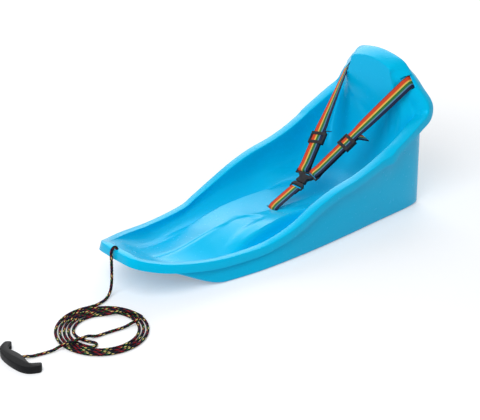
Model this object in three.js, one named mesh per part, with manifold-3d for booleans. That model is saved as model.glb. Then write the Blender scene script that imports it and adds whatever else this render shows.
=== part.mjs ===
// Baby pull sled: a one-piece moulded hull with a webbing harness and a pull rope with a handle.
// Millimetres. The sled lies along Y with its toe at -Y and its back rest at +Y, and it stands on
// z = 0. Left and right are the rider's, so left is +X.
import * as THREE from 'three';
import { mergeVertices } from 'three/addons/utils/BufferGeometryUtils.js';
import Module from 'manifold-3d';

const wasm = await Module();
wasm.setup();

// Driving sizes of the hull. The half width and half length are those of the rim crease.
const hullHalfWidth = 162;
const hullHalfLength = 429;
const hullHeight = 366;
const bandWidth = 22;
const lipDepth = 20;
const lipSlant = 3;
const lipThickness = 3;
const bandThickness = 4;
const footwellFloor = 23;
const panelRecess = 1;
const clearance = 0.3;
const overrun = 2;
const mergeTolerance = 0.001;

// Driving sizes of the harness, the buckle and the rope.
const webbingWidth = 30;
const webbingThickness = 1.5;
const webbingGap = 0.4;
const slotWidth = 7;
const keeperRadius = 2.5;
const keeperOverlap = 3.5;
const keeperRecessDepth = 10;
const buckleBarRadius = 2;
const buckleThickness = 9;
const buckleLength = 53;
const buckleWaistWidth = 27;
const buckleLug = 3.5;
const buckleWindowSlack = 3.2;
const releaseArmTaper = 1;
const buckleBarSpread = 18;
const sliderBar = 8;
const sliderMiddleBar = 5;
const sliderBarThickness = 2.4;
const sliderWindow = 5.5;
const sliderRail = 4.5;
const leftSliderDistance = 108;
const rightSliderDistance = 89;
const leftTailLength = 40;
const rightTailLength = 26;
const crotchTailLength = 17;
const tailClearance = 5;
const ropeDiameter = 7;
const coilOuterRadius = 101;
const coilLoops = 3.4;
const coilReturnLoops = 0.61;
const coilPitch = 9;
const hairpinRadius = 9;
const knotRadius = 5.2;
const knotFlatness = 0.95;
const handleLength = 125;
const handleHeight = 17;
const handleGrip = 28;

// Guide lines of the hull, one row for each knot from the middle of the toe round the rider's left
// side to the middle of the head, as shares of the half width, half length and height.
const rimShares = [
  [0, -0.9978, 0.292], [0.32, -0.9858, 0.29], [0.494, -0.902, 0.251], [0.648, -0.769, 0.213],
  [0.778, -0.543, 0.172], [0.877, -0.298, 0.167], [0.938, -0.179, 0.194], [0.975, -0.048, 0.243],
  [0.975, 0.103, 0.314], [0.975, 0.248, 0.363], [0.975, 0.402, 0.393], [0.978, 0.556, 0.443],
  [1, 0.705, 0.516], [0.975, 0.867, 0.607], [0.948, 0.945, 0.654], [0.895, 0.958, 0.717],
  [0.745, 0.945, 0.805], [0.572, 0.94, 0.908], [0.405, 0.94, 0.972], [0, 0.94, 1],
];
const spineShares = [
  [0, -0.946, 0.265], [0, -0.914, 0.243], [0, -0.844, 0.197], [0, -0.737, 0.137],
  [0, -0.571, 0.126], [0, -0.396, 0.156], [0, -0.252, 0.172], [0, -0.117, 0.169],
  [0, 0.023, 0.145], [0, 0.163, 0.126], [0, 0.315, 0.115], [0, 0.478, 0.117],
  [0, 0.629, 0.15], [0, 0.741, 0.23], [0, 0.801, 0.355], [0, 0.831, 0.492],
  [0, 0.842, 0.642], [0, 0.842, 0.792], [0, 0.841, 0.902], [0, 0.842, 0.951],
];
const wallTopShares = [
  [0, -0.965], [0.284, -0.953], [0.444, -0.879], [0.593, -0.76],
  [0.722, -0.541], [0.821, -0.298], [0.877, -0.179], [0.914, -0.047],
  [0.914, 0.105], [0.914, 0.247], [0.914, 0.401], [0.914, 0.555],
  [0.907, 0.704], [0.889, 0.816], [0.84, 0.895], [0.772, 0.928],
  [0.642, 0.946], [0.469, 0.946], [0.259, 0.937], [0, 0.932],
];
const baseShares = [
  [0, -0.96, 0.224], [0.302, -0.949, 0.221], [0.469, -0.867, 0.191], [0.605, -0.751, 0.128],
  [0.765, -0.541, 0.008], [0.87, -0.326, 0], [0.907, -0.182, 0], [0.926, -0.047, 0],
  [0.938, 0.105, 0], [0.938, 0.247, 0], [0.932, 0.401, 0], [0.92, 0.555, 0],
  [0.914, 0.699, 0], [0.901, 0.821, 0], [0.858, 0.904, 0], [0.79, 0.937, 0],
  [0.667, 0.958, 0], [0.494, 0.964, 0], [0.259, 0.964, 0], [0, 0.964, 0],
];
const keelShares = [
  [0, -0.951, 0.219], [0, -0.928, 0.202], [0, -0.867, 0.158], [0, -0.751, 0.082],
  [0, -0.583, 0], [0, -0.396, 0], [0, -0.252, 0], [0, -0.117, 0],
  [0, 0.023, 0], [0, 0.163, 0], [0, 0.315, 0], [0, 0.478, 0],
  [0, 0.629, 0], [0, 0.741, 0], [0, 0.816, 0], [0, 0.874, 0],
  [0, 0.914, 0], [0, 0.937, 0], [0, 0.953, 0], [0, 0.958, 0],
];

// Per knot: the width of the rim's top band, how far it turns down into the back's plane, how far
// it aims straight ahead and not at the middle, how far the lip turns backward, how far the lip is
// hollow below, the half width of the hump between the legs as a share of the inside's,
// and the height of the hump's edge over its middle as a share of the height.
const bandShares = [0.73, 0.73, 0.73, 0.77, 0.77, 0.82, 0.86, 0.95, 1, 1.05, 1.05, 1.1,
  1.25, 1.4, 1.6, 1.8, 1.85, 2, 2, 1.95];
const bandTurnShares = [0, 0, 0, 0, 0, 0, 0, 0, 0, 0, 0, 0, 0, 0.12, 0.35, 0.62, 0.88, 1, 1, 1];
const bandAimShares = [0, 0, 0, 0, 0, 0, 0, 0, 0, 0, 0, 0, 0, 0, 0, 0.1, 0.4, 0.8, 1, 1];
const lipTurnShares = [0, 0, 0, 0, 0, 0, 0, 0, 0, 0, 0, 0, 0, 0.12, 0.35, 0.6, 0.5, 0.25, 0, 0];
const hollowShares = [1, 1, 1, 1, 1, 1, 1, 1, 1, 1, 1, 1, 1, 0.8, 0.4, 0.1, 0, 0, 0, 0];
const humpWidthShares = [0.5, 0.5, 0.55, 0.62, 0.66, 0.62, 0.56, 0.52, 0.5, 0.5, 0.5, 0.5,
  0.5, 0.5, 0.5, 0.5, 0.5, 0.5, 0.5, 0.5];
const humpEdgeShares = [0, 0, 0, -0.01, -0.05, -0.062, -0.028, 0, 0.028, 0.036, 0.02, 0,
  0, 0, 0, 0, 0, 0, 0, 0];
const footwellShares = [0, 0, 0, 0, 0.25, 0.85, 1, 1, 1, 0.9, 0.35, 0,
  0, 0, 0, 0, 0, 0, 0, 0];

// Mesh density of the hull and the shape of its inside section.
const stationsPerKnot = 3;
const bandCrownShare = 1 / 16;
const insideRings = 12;
const humpEdgeRing = 3;
const sectionPower = 3;
const humpSideShare = 0.16;
const headTaper = 0.8;
const headSlope = 0.3;

const toVector = ([x, y, z = 0]) =>
  new THREE.Vector3(x * hullHalfWidth, y * hullHalfLength, z * hullHeight);

// A guide line runs once round the hull, so the right side repeats the left one mirrored.
function guide(rows) {
  const left = rows.map(toVector);
  const mirrored = left.slice(1, -1).reverse().map((p) => new THREE.Vector3(-p.x, p.y, p.z));
  return new THREE.CatmullRomCurve3([...left, ...mirrored], true, 'catmullrom', 0.5);
}

function guideValue(shares) {
  const mirrored = shares.slice(1, -1).reverse();
  const line = new THREE.CatmullRomCurve3(
    [...shares, ...mirrored].map((v) => new THREE.Vector3(v, 0, 0)), true, 'catmullrom', 0.5);
  return (t) => line.getPoint(t).x;
}

const rimLine = guide(rimShares);
const spineLine = guide(spineShares);
const wallTopLine = guide(wallTopShares);
const baseLine = guide(baseShares);
const keelLine = guide(keelShares);
const bandAt = guideValue(bandShares);
const bandTurnAt = guideValue(bandTurnShares);
const bandAimAt = guideValue(bandAimShares);
const lipTurnAt = guideValue(lipTurnShares);
const hollowAt = guideValue(hollowShares);
const humpWidthAt = guideValue(humpWidthShares);
const humpEdgeAt = guideValue(humpEdgeShares);
const footwellAt = guideValue(footwellShares);

const clamp01 = (v) => Math.min(Math.max(v, 0), 1);
const smooth01 = (v) => clamp01(v) ** 2 * (3 - 2 * clamp01(v));

// The rim's own directions at a station: inward across its top band, and down its lip.
function rimFrame(t) {
  const rim = rimLine.getPoint(t);
  const along = rimLine.getTangent(t);
  const spine = spineLine.getPoint(t);
  const depth = rim.y - spine.y;
  const before = new THREE.Vector3(rim.x * headTaper, spine.y, rim.z - depth * headSlope);
  const inward = spine.lerp(before, clamp01(bandAimAt(t))).sub(rim);
  inward.z *= clamp01(bandTurnAt(t));
  inward.addScaledVector(along, -inward.dot(along)).normalize();
  const down = new THREE.Vector3().crossVectors(inward, along).normalize();
  down.lerp(new THREE.Vector3(0, 1, 0), clamp01(lipTurnAt(t))).normalize();
  return { rim, inward, down };
}

function innerEdge(t) {
  const { rim, inward } = rimFrame(t);
  return rim.clone().addScaledVector(inward, bandWidth * bandAt(t));
}

// One point of the hull's inside, from the spine (step 0) out to the rim's inner edge.
function insidePoint(t, step) {
  const angle = (step / insideRings) * Math.PI / 2;
  const edgeAngle = (humpEdgeRing / insideRings) * Math.PI / 2;
  const plain = Math.sin(angle) ** (2 / sectionPower);
  const plainEdge = Math.sin(edgeAngle) ** (2 / sectionPower);
  const climb = 1 - Math.cos(angle) ** (2 / sectionPower);
  const edge = humpWidthAt(t);
  const across = plain <= plainEdge
    ? plain * edge / plainEdge
    : 1 - (1 - plain) * (1 - edge) / (1 - plainEdge);
  const spine = spineLine.getPoint(t);
  const outer = innerEdge(t);
  const humpEdge = spine.z + humpEdgeAt(t) * hullHeight;
  const fall = smooth01((across - edge) / humpSideShare);
  const floor = THREE.MathUtils.lerp(humpEdge, footwellFloor, fall * clamp01(footwellAt(t)));
  const low = across <= edge ? THREE.MathUtils.lerp(spine.z, humpEdge, across / edge) : floor;
  return new THREE.Vector3(
    outer.x * across,
    THREE.MathUtils.lerp(spine.y, outer.y, climb),
    THREE.MathUtils.lerp(Math.min(low, outer.z), outer.z, climb));
}

// The rest of a station's section: over the band, down the lip and back under it, down the side
// wall and along the bottom to the keel.
function outsidePoints(t) {
  const { rim, inward, down } = rimFrame(t);
  const inner = innerEdge(t);
  const crown = inner.clone().lerp(rim, 0.5)
    .addScaledVector(down, -bandWidth * bandAt(t) * bandCrownShare);
  const lipEdge = rim.clone().addScaledVector(down, lipDepth)
    .addScaledVector(inward, -lipSlant * clamp01(hollowAt(t)));
  const lipInside = lipEdge.clone().addScaledVector(inward, lipThickness);
  const hollow = clamp01(hollowAt(t));
  const lipTop = lipInside.clone()
    .addScaledVector(down, -(lipDepth - bandThickness) * hollow)
    .addScaledVector(inward, lipSlant * hollow);
  const wallTop = wallTopLine.getPoint(t);
  wallTop.z = lipTop.z - lipThickness * (1 - hollow) * 2;
  const base = baseLine.getPoint(t);
  const wallMiddle = wallTop.clone().lerp(base, 0.5);
  const keel = keelLine.getPoint(t);
  base.z = Math.max(base.z, 0);
  keel.z = Math.max(keel.z, 0);
  return [crown, rim, lipEdge, lipInside, lipTop, wallTop, wallMiddle, base,
    base.clone().lerp(keel, 0.5), keel];
}

// Joins rings of points, one ring for each step, into one closed body.
function loftRings(stations) {
  const positions = [];
  const indices = [];
  const ringCount = stations[0].length;
  stations.forEach((points) => points.forEach((p) => positions.push(p.x, p.y, p.z)));
  for (let station = 0; station < stations.length; station += 1) {
    const next = (station + 1) % stations.length;
    for (let ring = 0; ring < ringCount - 1; ring += 1) {
      const a = station * ringCount + ring;
      const b = next * ringCount + ring;
      if (station < stations.length / 2) indices.push(a, a + 1, b + 1, a, b + 1, b);
      else indices.push(a, a + 1, b, b, a + 1, b + 1);
    }
  }
  const geometry = new THREE.BufferGeometry();
  geometry.setAttribute('position', new THREE.Float32BufferAttribute(positions, 3));
  geometry.setIndex(indices);
  return dropFlatFaces(mergeVertices(geometry, mergeTolerance));
}

// Faces that merging has folded to a line are left out.
function dropFlatFaces(geometry) {
  const old = geometry.index.array;
  const kept = [];
  for (let i = 0; i < old.length; i += 3) {
    const [a, b, c] = [old[i], old[i + 1], old[i + 2]];
    if (a !== b && b !== c && c !== a) kept.push(a, b, c);
  }
  geometry.setIndex(kept);
  return geometry;
}

function hullBlank() {
  const stationCount = (2 * rimShares.length - 2) * stationsPerKnot;
  const stations = [];
  for (let station = 0; station < stationCount; station += 1) {
    const t = station / stationCount;
    const points = [];
    for (let step = 0; step <= insideRings; step += 1) points.push(insidePoint(t, step));
    stations.push([...points, ...outsidePoints(t)]);
  }
  return loftRings(stations);
}

// Booleans: a closed geometry becomes a solid and the result a geometry again.
function solid(geometry) {
  const bare = geometry.clone();
  bare.deleteAttribute('normal');
  bare.deleteAttribute('uv');
  const merged = mergeVertices(bare, mergeTolerance);
  return new wasm.Manifold(new wasm.Mesh({
    numProp: 3,
    vertProperties: new Float32Array(merged.attributes.position.array),
    triVerts: new Uint32Array(merged.index.array),
  }));
}

function toGeometry(manifold) {
  const mesh = manifold.getMesh();
  const geometry = new THREE.BufferGeometry();
  geometry.setAttribute('position', new THREE.Float32BufferAttribute(mesh.vertProperties, 3));
  geometry.setIndex(Array.from(mesh.triVerts));
  return geometry;
}

// A box turned so that its first two sides run along x and y, with its middle at centre.
function boxAlong(size, centre, x, y) {
  const box = new THREE.BoxGeometry(...size);
  const z = new THREE.Vector3().crossVectors(x, y);
  box.applyMatrix4(new THREE.Matrix4().makeBasis(x, y, z).setPosition(centre));
  return solid(box);
}

const across = new THREE.Vector3(1, 0, 0);
const ahead = new THREE.Vector3(0, 1, 0);
const upward = new THREE.Vector3(0, 0, 1);

// Places on the hull that the harness and the rope share with it.
const shoulderSlotShare = [0.6, 0.916, 0.836];
const shoulderSlotLean = 0.64;
const crotchSlotShare = [0, 0.097, 0.137];
const ropeHoleShare = [0, -0.9786, 0.284];
const buckleBarShare = [0, 0.274, 0.221];
const shoulderSlot = (side) => toVector(shoulderSlotShare).multiply(new THREE.Vector3(side, 1, 1));
const slotWidthways = (side) =>
  new THREE.Vector3(side * Math.sin(shoulderSlotLean), 0, -Math.cos(shoulderSlotLean));
const crotchSlot = toVector(crotchSlotShare);
const ropeHole = toVector(ropeHoleShare);
const slotLength = webbingWidth + 4 * webbingThickness;
const slotReach = hullHalfLength / 5;

function shoulderSlotCut(side) {
  const w = slotWidthways(side);
  const straight = boxAlong([slotLength, slotReach, slotWidth], shoulderSlot(side), w, ahead);
  const flareWay = strapRun(side).along.clone().addScaledVector(w, -strapRun(side).along.dot(w));
  return straight.add(boxAlong([slotLength, 4 * slotWidth, slotWidth], shoulderSlot(side), w,
    flareWay.normalize()));
}

function crotchSlotCut() {
  const size = [slotLength, slotWidth, 4 * crotchSlot.z];
  return boxAlong(size, crotchSlot, across, ahead);
}

// The recess below the crotch slot, where the strap's keeper lies clear of the snow.
const keeperLength = slotLength + 2 * keeperOverlap;
function keeperRecessCut() {
  const size = [keeperLength + 2 * overrun, 8 * keeperRadius, 2 * keeperRecessDepth];
  return boxAlong(size, new THREE.Vector3(crotchSlot.x, crotchSlot.y, 0), across, ahead);
}

function ropeHoleCut() {
  const radius = ropeDiameter / 2 + clearance * 2;
  const hole = new THREE.CylinderGeometry(radius, radius, 4 * knotRadius, roundSides);
  hole.rotateX(Math.PI / 2).translate(ropeHole.x, ropeHole.y, ropeHole.z);
  return solid(hole);
}

// The flat shield of the back rest, cut a little into its front.
const panelHalfWidthShare = 0.43;
const panelStation = 0.42;
const panelShares = [[0, 0.54], [0.36, 0.585], [0.72, 0.65], [0.95, 0.73], [1, 0.8], [0.94, 0.87],
  [0.76, 0.92], [0.4, 0.945], [0, 0.95]];
function backPanelCut() {
  const left = panelShares.map(([x, z]) =>
    new THREE.Vector2(x * panelHalfWidthShare * hullHalfWidth, z * hullHeight));
  const right = left.slice(1, -1).reverse().map((p) => new THREE.Vector2(-p.x, p.y));
  const outline = new THREE.SplineCurve([...left, ...right, left[0]])
    .getPoints(4 * panelShares.length);
  const depth = hullHalfLength / 4;
  const prism = new THREE.ExtrudeGeometry(new THREE.Shape(outline.slice(0, -1)),
    { depth, bevelEnabled: false, steps: 1 });
  const face = spineLine.getPoint(panelStation).y + panelRecess;
  prism.rotateX(Math.PI / 2).translate(0, face, 0);
  return solid(prism);
}

function hullShell() {
  let hull = solid(hullBlank());
  for (const side of [1, -1]) hull = hull.subtract(shoulderSlotCut(side));
  for (const cut of [crotchSlotCut(), keeperRecessCut(), ropeHoleCut(), backPanelCut()]) {
    hull = hull.subtract(cut);
  }
  return toGeometry(hull);
}

// A ribbon of webbing through a row of places, each a point with its widthways direction.
function ribbon(places) {
  const rows = places.map(({ point, widthways }, i) => {
    const before = places[Math.max(i - 1, 0)].point;
    const after = places[Math.min(i + 1, places.length - 1)].point;
    const along = after.clone().sub(before).normalize();
    const w = widthways.clone().addScaledVector(along, -widthways.dot(along)).normalize();
    const n = new THREE.Vector3().crossVectors(along, w);
    return [[-1, -1], [1, -1], [1, 1], [-1, 1]].map(([a, b]) => point.clone()
      .addScaledVector(w, a * webbingWidth / 2).addScaledVector(n, b * webbingThickness / 2));
  });
  return closedTube(rows);
}

// Rings of equal count become a closed tube with flat ends.
function closedTube(rows) {
  const sides = rows[0].length;
  const positions = rows.flat().flatMap((p) => [p.x, p.y, p.z]);
  const indices = [];
  for (let row = 0; row < rows.length - 1; row += 1) {
    for (let side = 0; side < sides; side += 1) {
      const a = row * sides + side;
      const b = row * sides + (side + 1) % sides;
      indices.push(a, b, b + sides, a, b + sides, a + sides);
    }
  }
  const last = (rows.length - 1) * sides;
  for (let side = 1; side < sides - 1; side += 1) {
    indices.push(0, side + 1, side, last, last + side, last + side + 1);
  }
  const geometry = new THREE.BufferGeometry();
  geometry.setAttribute('position', new THREE.Float32BufferAttribute(positions, 3));
  geometry.setIndex(indices);
  return geometry;
}

// Webbing that goes round a bar: an arc in the plane of along and normal, from one turn to another.
function wrapPlaces(centre, along, normal, widthways, radius, from, to, steps) {
  const places = [];
  for (let step = 0; step <= steps; step += 1) {
    const turn = from + (to - from) * step / steps;
    const point = centre.clone().addScaledVector(along, radius * Math.cos(turn))
      .addScaledVector(normal, radius * Math.sin(turn));
    places.push({ point, widthways });
  }
  return places;
}
const layerOffset = webbingThickness / 2 + webbingGap / 2;
const barWrapRadius = buckleBarRadius + webbingGap + webbingThickness / 2;
const keeperWrapRadius = keeperRadius + webbingGap + webbingThickness / 2;

// The buckle's own directions: up along it, and out of its face.
const buckleLow = toVector([0, buckleBarShare[1], buckleBarShare[2]]);
const bucklePitch = 0.54;
const buckleUp = new THREE.Vector3(0, Math.cos(bucklePitch), Math.sin(bucklePitch));
const buckleOut = new THREE.Vector3(0, -Math.sin(bucklePitch), Math.cos(bucklePitch));
const shoulderBar = (side) => buckleLow.clone().addScaledVector(buckleUp, buckleLength)
  .addScaledVector(across, side * buckleBarSpread);

// A shoulder strap's straight run from the buckle's bar up to the slot.
function strapRun(side) {
  const start = shoulderBar(side);
  const end = shoulderSlot(side);
  const along = end.clone().sub(start);
  const length = along.length();
  along.normalize();
  const lean = Math.atan2(along.dot(across), along.dot(buckleUp));
  const level = across.clone().multiplyScalar(Math.cos(lean))
    .addScaledVector(buckleUp, -Math.sin(lean));
  level.addScaledVector(along, -level.dot(along)).normalize();
  const normal = new THREE.Vector3().crossVectors(level, along).normalize();
  return { start, end, along, length, level, normal, lean };
}
const sliderDistance = (side) => (side > 0 ? leftSliderDistance : rightSliderDistance);
const slotHalfDepth = hullHalfLength * 0.03;
const tailAngle = 1.05;
const wrapSteps = 8;
const twistSteps = 9;

function shoulderStrap(side) {
  const { start, end, along, length, level, normal } = strapRun(side);
  const slider = sliderDistance(side);
  const at = (s, n, w = level) => ({
    point: start.clone().addScaledVector(along, s).addScaledVector(normal, n), widthways: w });
  const tailStart = slider + sliderBodyLength / 2 + tailClearance;
  const tailLength = side > 0 ? leftTailLength : rightTailLength;
  const tailTurn = (turn) => along.clone().multiplyScalar(Math.cos(turn))
    .addScaledVector(normal, -Math.sin(turn));
  const tailBend = at(tailStart, -layerOffset).point
    .addScaledVector(tailTurn(tailAngle / 2), tailLength / 6);
  const places = [
    { point: tailBend.clone().addScaledVector(tailTurn(tailAngle), tailLength * 5 / 6),
      widthways: level },
    { point: tailBend, widthways: level },
    at(tailStart, -layerOffset), at(slider - sliderBodyLength, -layerOffset),
    at(sliderBodyLength / 2, -layerOffset), at(barWrapRadius, -barWrapRadius),
    ...wrapPlaces(start, along, normal, level, barWrapRadius, 1.5 * Math.PI,
      0.5 * Math.PI, wrapSteps),
    at(barWrapRadius, barWrapRadius), at(sliderBodyLength / 2, layerOffset),
    at(slider - sliderBodyLength, layerOffset), at(slider + sliderBodyLength, layerOffset),
  ];
  const target = slotWidthways(side).multiplyScalar(side);
  const twistFrom = slider + sliderBodyLength;
  for (let step = 1; step <= twistSteps; step += 1) {
    const share = step / twistSteps;
    const s = THREE.MathUtils.lerp(twistFrom, length - slotHalfDepth / 2, share);
    places.push(at(s, layerOffset * (1 - share), level.clone().lerp(target, smooth01(share))));
  }
  const keeper = keeperCentre(side);
  const slotNormal = new THREE.Vector3().crossVectors(ahead, target).normalize();
  const entry = end.clone().addScaledVector(ahead, slotHalfDepth / 4);
  places.push({ point: entry, widthways: target });
  const exit = keeper.clone().addScaledVector(slotNormal, -keeperWrapRadius)
    .addScaledVector(ahead, -keeperWrapRadius);
  places.push({ point: exit, widthways: target });
  places.push(...wrapPlaces(keeper, ahead, slotNormal, target, keeperWrapRadius,
    -0.5 * Math.PI, 0.72 * Math.PI, wrapSteps));
  return ribbon(places);
}

// The keeper behind a shoulder slot: a rod that the strap's end is sewn round.
const keeperSetback = 0.0608 * hullHalfLength;
function keeperCentre(side) {
  const slotNormal = new THREE.Vector3().crossVectors(ahead, slotWidthways(side)).normalize();
  return shoulderSlot(side).addScaledVector(ahead, keeperSetback)
    .addScaledVector(slotNormal, side * keeperWrapRadius);
}

const roundSides = 16;
function rod(centre, direction, length, radius) {
  const geometry = new THREE.CylinderGeometry(radius, radius, length, roundSides);
  geometry.applyQuaternion(new THREE.Quaternion().setFromUnitVectors(ahead, direction));
  return geometry.translate(centre.x, centre.y, centre.z);
}

// The slider: two bars over the webbing's two layers, one below them, and a rail on each side.
const sliderBodyLength = 2 * sliderWindow + 2 * sliderBar + sliderMiddleBar;
const sliderInside = webbingWidth + 6 * clearance;
const layersHalf = webbingThickness + webbingGap / 2 + clearance;
function slider(side) {
  const { start, along, level, normal } = strapRun(side);
  const centre = start.clone().addScaledVector(along, sliderDistance(side));
  const piece = (size, a, w, n) => boxAlong(size, centre.clone().addScaledVector(along, a)
    .addScaledVector(level, w).addScaledVector(normal, n), along, level);
  const thickness = 2 * (layersHalf + sliderBarThickness);
  const railPlace = (sliderInside + sliderRail) / 2;
  const barPlace = (sliderBodyLength - sliderBar) / 2;
  const height = layersHalf + sliderBarThickness / 2;
  const barSize = [sliderBar, sliderInside + sliderRail, sliderBarThickness];
  let body = piece([sliderBodyLength, sliderRail, thickness], 0, railPlace, 0)
    .add(piece([sliderBodyLength, sliderRail, thickness], 0, -railPlace, 0));
  for (const a of [-barPlace, barPlace]) body = body.add(piece(barSize, a, 0, height));
  return toGeometry(body.add(piece([sliderMiddleBar, barSize[1], sliderBarThickness], 0, 0,
    -height)));
}

// Flat pieces of the buckle are outlines in its face, x across and y up it, with their thickness
// centred on it.
function buckleShape(points, thickness) {
  const shape = new THREE.Shape(points.map(([x, y]) => new THREE.Vector2(x, y)));
  const geometry = new THREE.ExtrudeGeometry(shape,
    { depth: thickness, bevelEnabled: false, steps: 1 });
  geometry.translate(0, 0, -thickness / 2);
  geometry.applyMatrix4(new THREE.Matrix4().makeBasis(across, buckleUp, buckleOut)
    .setPosition(buckleLow));
  return solid(geometry);
}
const mirroredOutline = (points) =>
  [...points, ...points.slice().reverse().filter(([x]) => x > 0).map(([x, y]) => [-x, y])];
const rectangle = (x0, y0, x1, y1) => [[x0, y0], [x1, y0], [x1, y1], [x0, y1]];

const barHalfHeight = 0.8 * buckleBarRadius;
const barThickness = 1.4 * buckleBarRadius;
const barHalfWindow = webbingWidth / 2 + 3 * clearance;
const windowHeight = 2 * webbingGap + webbingThickness + buckleWindowSlack;
const waist = buckleWaistWidth / 2;
const socketMouth = 0.34 * buckleLength;
// The socket's outline from its mouth up, as shares of the waist's half and the buckle's length.
const socketShares = [[1, 0.34], [1.06, 0.41], [0.92, 0.51], [1, 0.6], [1.4, 0.67], [1.73, 0.79]];

// Bars of the socket lie square to their straps.
function barOutline(side, y0, y1, halfLength) {
  const lean = -strapRun(side).lean;
  const turn = ([x, y]) => [
    side * buckleBarSpread + x * Math.cos(lean) - y * Math.sin(lean),
    buckleLength + x * Math.sin(lean) + y * Math.cos(lean)];
  return rectangle(-halfLength, y0, halfLength, y1).map(turn);
}

function buckleSocket() {
  const frameTop = barHalfHeight;
  const frameLow = -barHalfHeight - windowHeight - buckleLug;
  const half = barHalfWindow + buckleLug;
  let loops = buckleShape(barOutline(1, frameLow, frameTop, half), barThickness)
    .add(buckleShape(barOutline(-1, frameLow, frameTop, half), barThickness));
  const body = mirroredOutline(socketShares.map(([x, y]) => [x * waist, y * buckleLength]));
  loops = loops.add(buckleShape(body, buckleThickness));
  for (const side of [1, -1]) {
    const low = -barHalfHeight - windowHeight;
    loops = loops.subtract(buckleShape(barOutline(side, low, -barHalfHeight, barHalfWindow),
      buckleThickness + 2 * overrun));
  }
  const cavity = rectangle(-cavityHalf, socketMouth - overrun, cavityHalf, cavityTop);
  const sideWindow = rectangle(-waist - overrun, padLow - overrun, waist + overrun, padHigh + overrun);
  return toGeometry(loops.subtract(buckleShape(cavity, cavityThickness))
    .subtract(buckleShape(sideWindow, cavityThickness)));
}

const cavityThickness = 0.55 * buckleThickness;
const cavityHalf = 0.78 * waist;
const cavityTop = 0.74 * buckleLength;
const padLow = socketMouth + 0.3 * (cavityTop - socketMouth);
const padHigh = socketMouth + 0.72 * (cavityTop - socketMouth);
const tongueHalf = 0.24 * waist;
const armInner = 0.48 * waist;
const armRoot = socketMouth - overrun;
const innerThickness = cavityThickness - 2 * clearance;

// The insert: the lower bar with its window, its shoulders and the tongue inside the socket.
function buckleInsert() {
  const half = barHalfWindow + buckleLug;
  const windowTop = barHalfHeight + windowHeight;
  const frame = buckleShape(rectangle(-half, -barHalfHeight, half, windowTop), barThickness);
  const block = buckleShape([[-half, windowTop - clearance], [half, windowTop - clearance],
    [waist, armRoot - clearance], [-waist, armRoot - clearance]], buckleThickness * 0.8);
  const tongue = buckleShape(rectangle(-tongueHalf, windowTop, tongueHalf,
    cavityTop - 2 * clearance), innerThickness);
  const window = buckleShape(rectangle(-barHalfWindow, barHalfHeight, barHalfWindow, windowTop),
    buckleThickness + overrun);
  return toGeometry(frame.add(block).add(tongue).subtract(window));
}

// A release arm: sprung at its root, with a pad that fills the socket's side window.
function releaseArm(side) {
  const x = (v) => side * v;
  const outer = cavityHalf - clearance;
  const tip = cavityTop - overrun;
  const points = [
    [x(armInner), armRoot], [x(outer), armRoot], [x(outer), padLow - overrun + clearance],
    [x(waist - clearance), padLow], [x(waist - clearance), padHigh], [x(outer), padHigh + clearance],
    [x(outer - releaseArmTaper), tip], [x(armInner), tip]];
  return toGeometry(buckleShape(side > 0 ? points : points.reverse(), innerThickness));
}

// The crotch strap: round the insert's bar, down through the hull and round its keeper.
const crotchKeeper = new THREE.Vector3(crotchSlot.x, crotchSlot.y + keeperWrapRadius,
  keeperWrapRadius + webbingThickness / 2 + 2 * clearance);
function crotchStrap() {
  const slotTop = crotchSlot.clone();
  const along = buckleLow.clone().sub(slotTop).normalize();
  const normal = new THREE.Vector3().crossVectors(across, along).normalize();
  const places = wrapPlaces(buckleLow, along, normal, across, barWrapRadius,
    -0.5 * Math.PI, 0.5 * Math.PI, wrapSteps);
  const bottomTurn = new THREE.Vector3(slotTop.x, slotTop.y, keeperRecessDepth);
  places.unshift({ point: buckleLow.clone().addScaledVector(along, -crotchTailLength)
    .addScaledVector(normal, -webbingThickness - webbingGap), widthways: across });
  places.push({ point: slotTop.clone().addScaledVector(along, 1.6 * slotWidth)
    .addScaledVector(upward, 3 * webbingThickness), widthways: across });
  places.push({ point: slotTop.clone().addScaledVector(upward, 2 * webbingThickness)
    .addScaledVector(ahead, webbingThickness), widthways: across });
  places.push({ point: slotTop.clone().addScaledVector(upward, -webbingThickness),
    widthways: across });
  places.push({ point: bottomTurn, widthways: across });
  places.push(...wrapPlaces(crotchKeeper, ahead, upward, across, keeperWrapRadius,
    Math.PI, 2.2 * Math.PI, wrapSteps));
  return ribbon(places);
}

// Rope along a smooth line, as an octagonal tube square to its ends.
function ropeTube(points, steps, sides) {
  const line = new THREE.CatmullRomCurve3(points, false, 'centripetal');
  const section = new THREE.Shape();
  for (let side = 0; side < sides; side += 1) {
    const turn = 2 * Math.PI * side / sides;
    const corner = [ropeDiameter / 2 * Math.cos(turn), ropeDiameter / 2 * Math.sin(turn)];
    if (side === 0) section.moveTo(...corner);
    else section.lineTo(...corner);
  }
  return new THREE.ExtrudeGeometry(section, { steps, extrudePath: line, bevelEnabled: false });
}

// The rope's route in millimetres from the hole in the toe down to the start of the coil.
const ropeLeadRoute = [
  [0, 0, 0.3], [0, -0.2, 4.5], [0, -2.4, 8.4], [0, -7, 10.4], [0, -12, 8], [0, -15.4, 1.5],
  [0, -16.2, -7], [0, -16.2, -16], [0, -16.3, -36], [0, -17, -57], [0.5, -19, -76],
  [3, -25, -91], [8, -36, -98.2],
  [13, -48, -100.15], [16.6, -61, -100.15], [17.9, -73, -100.15],
];
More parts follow.
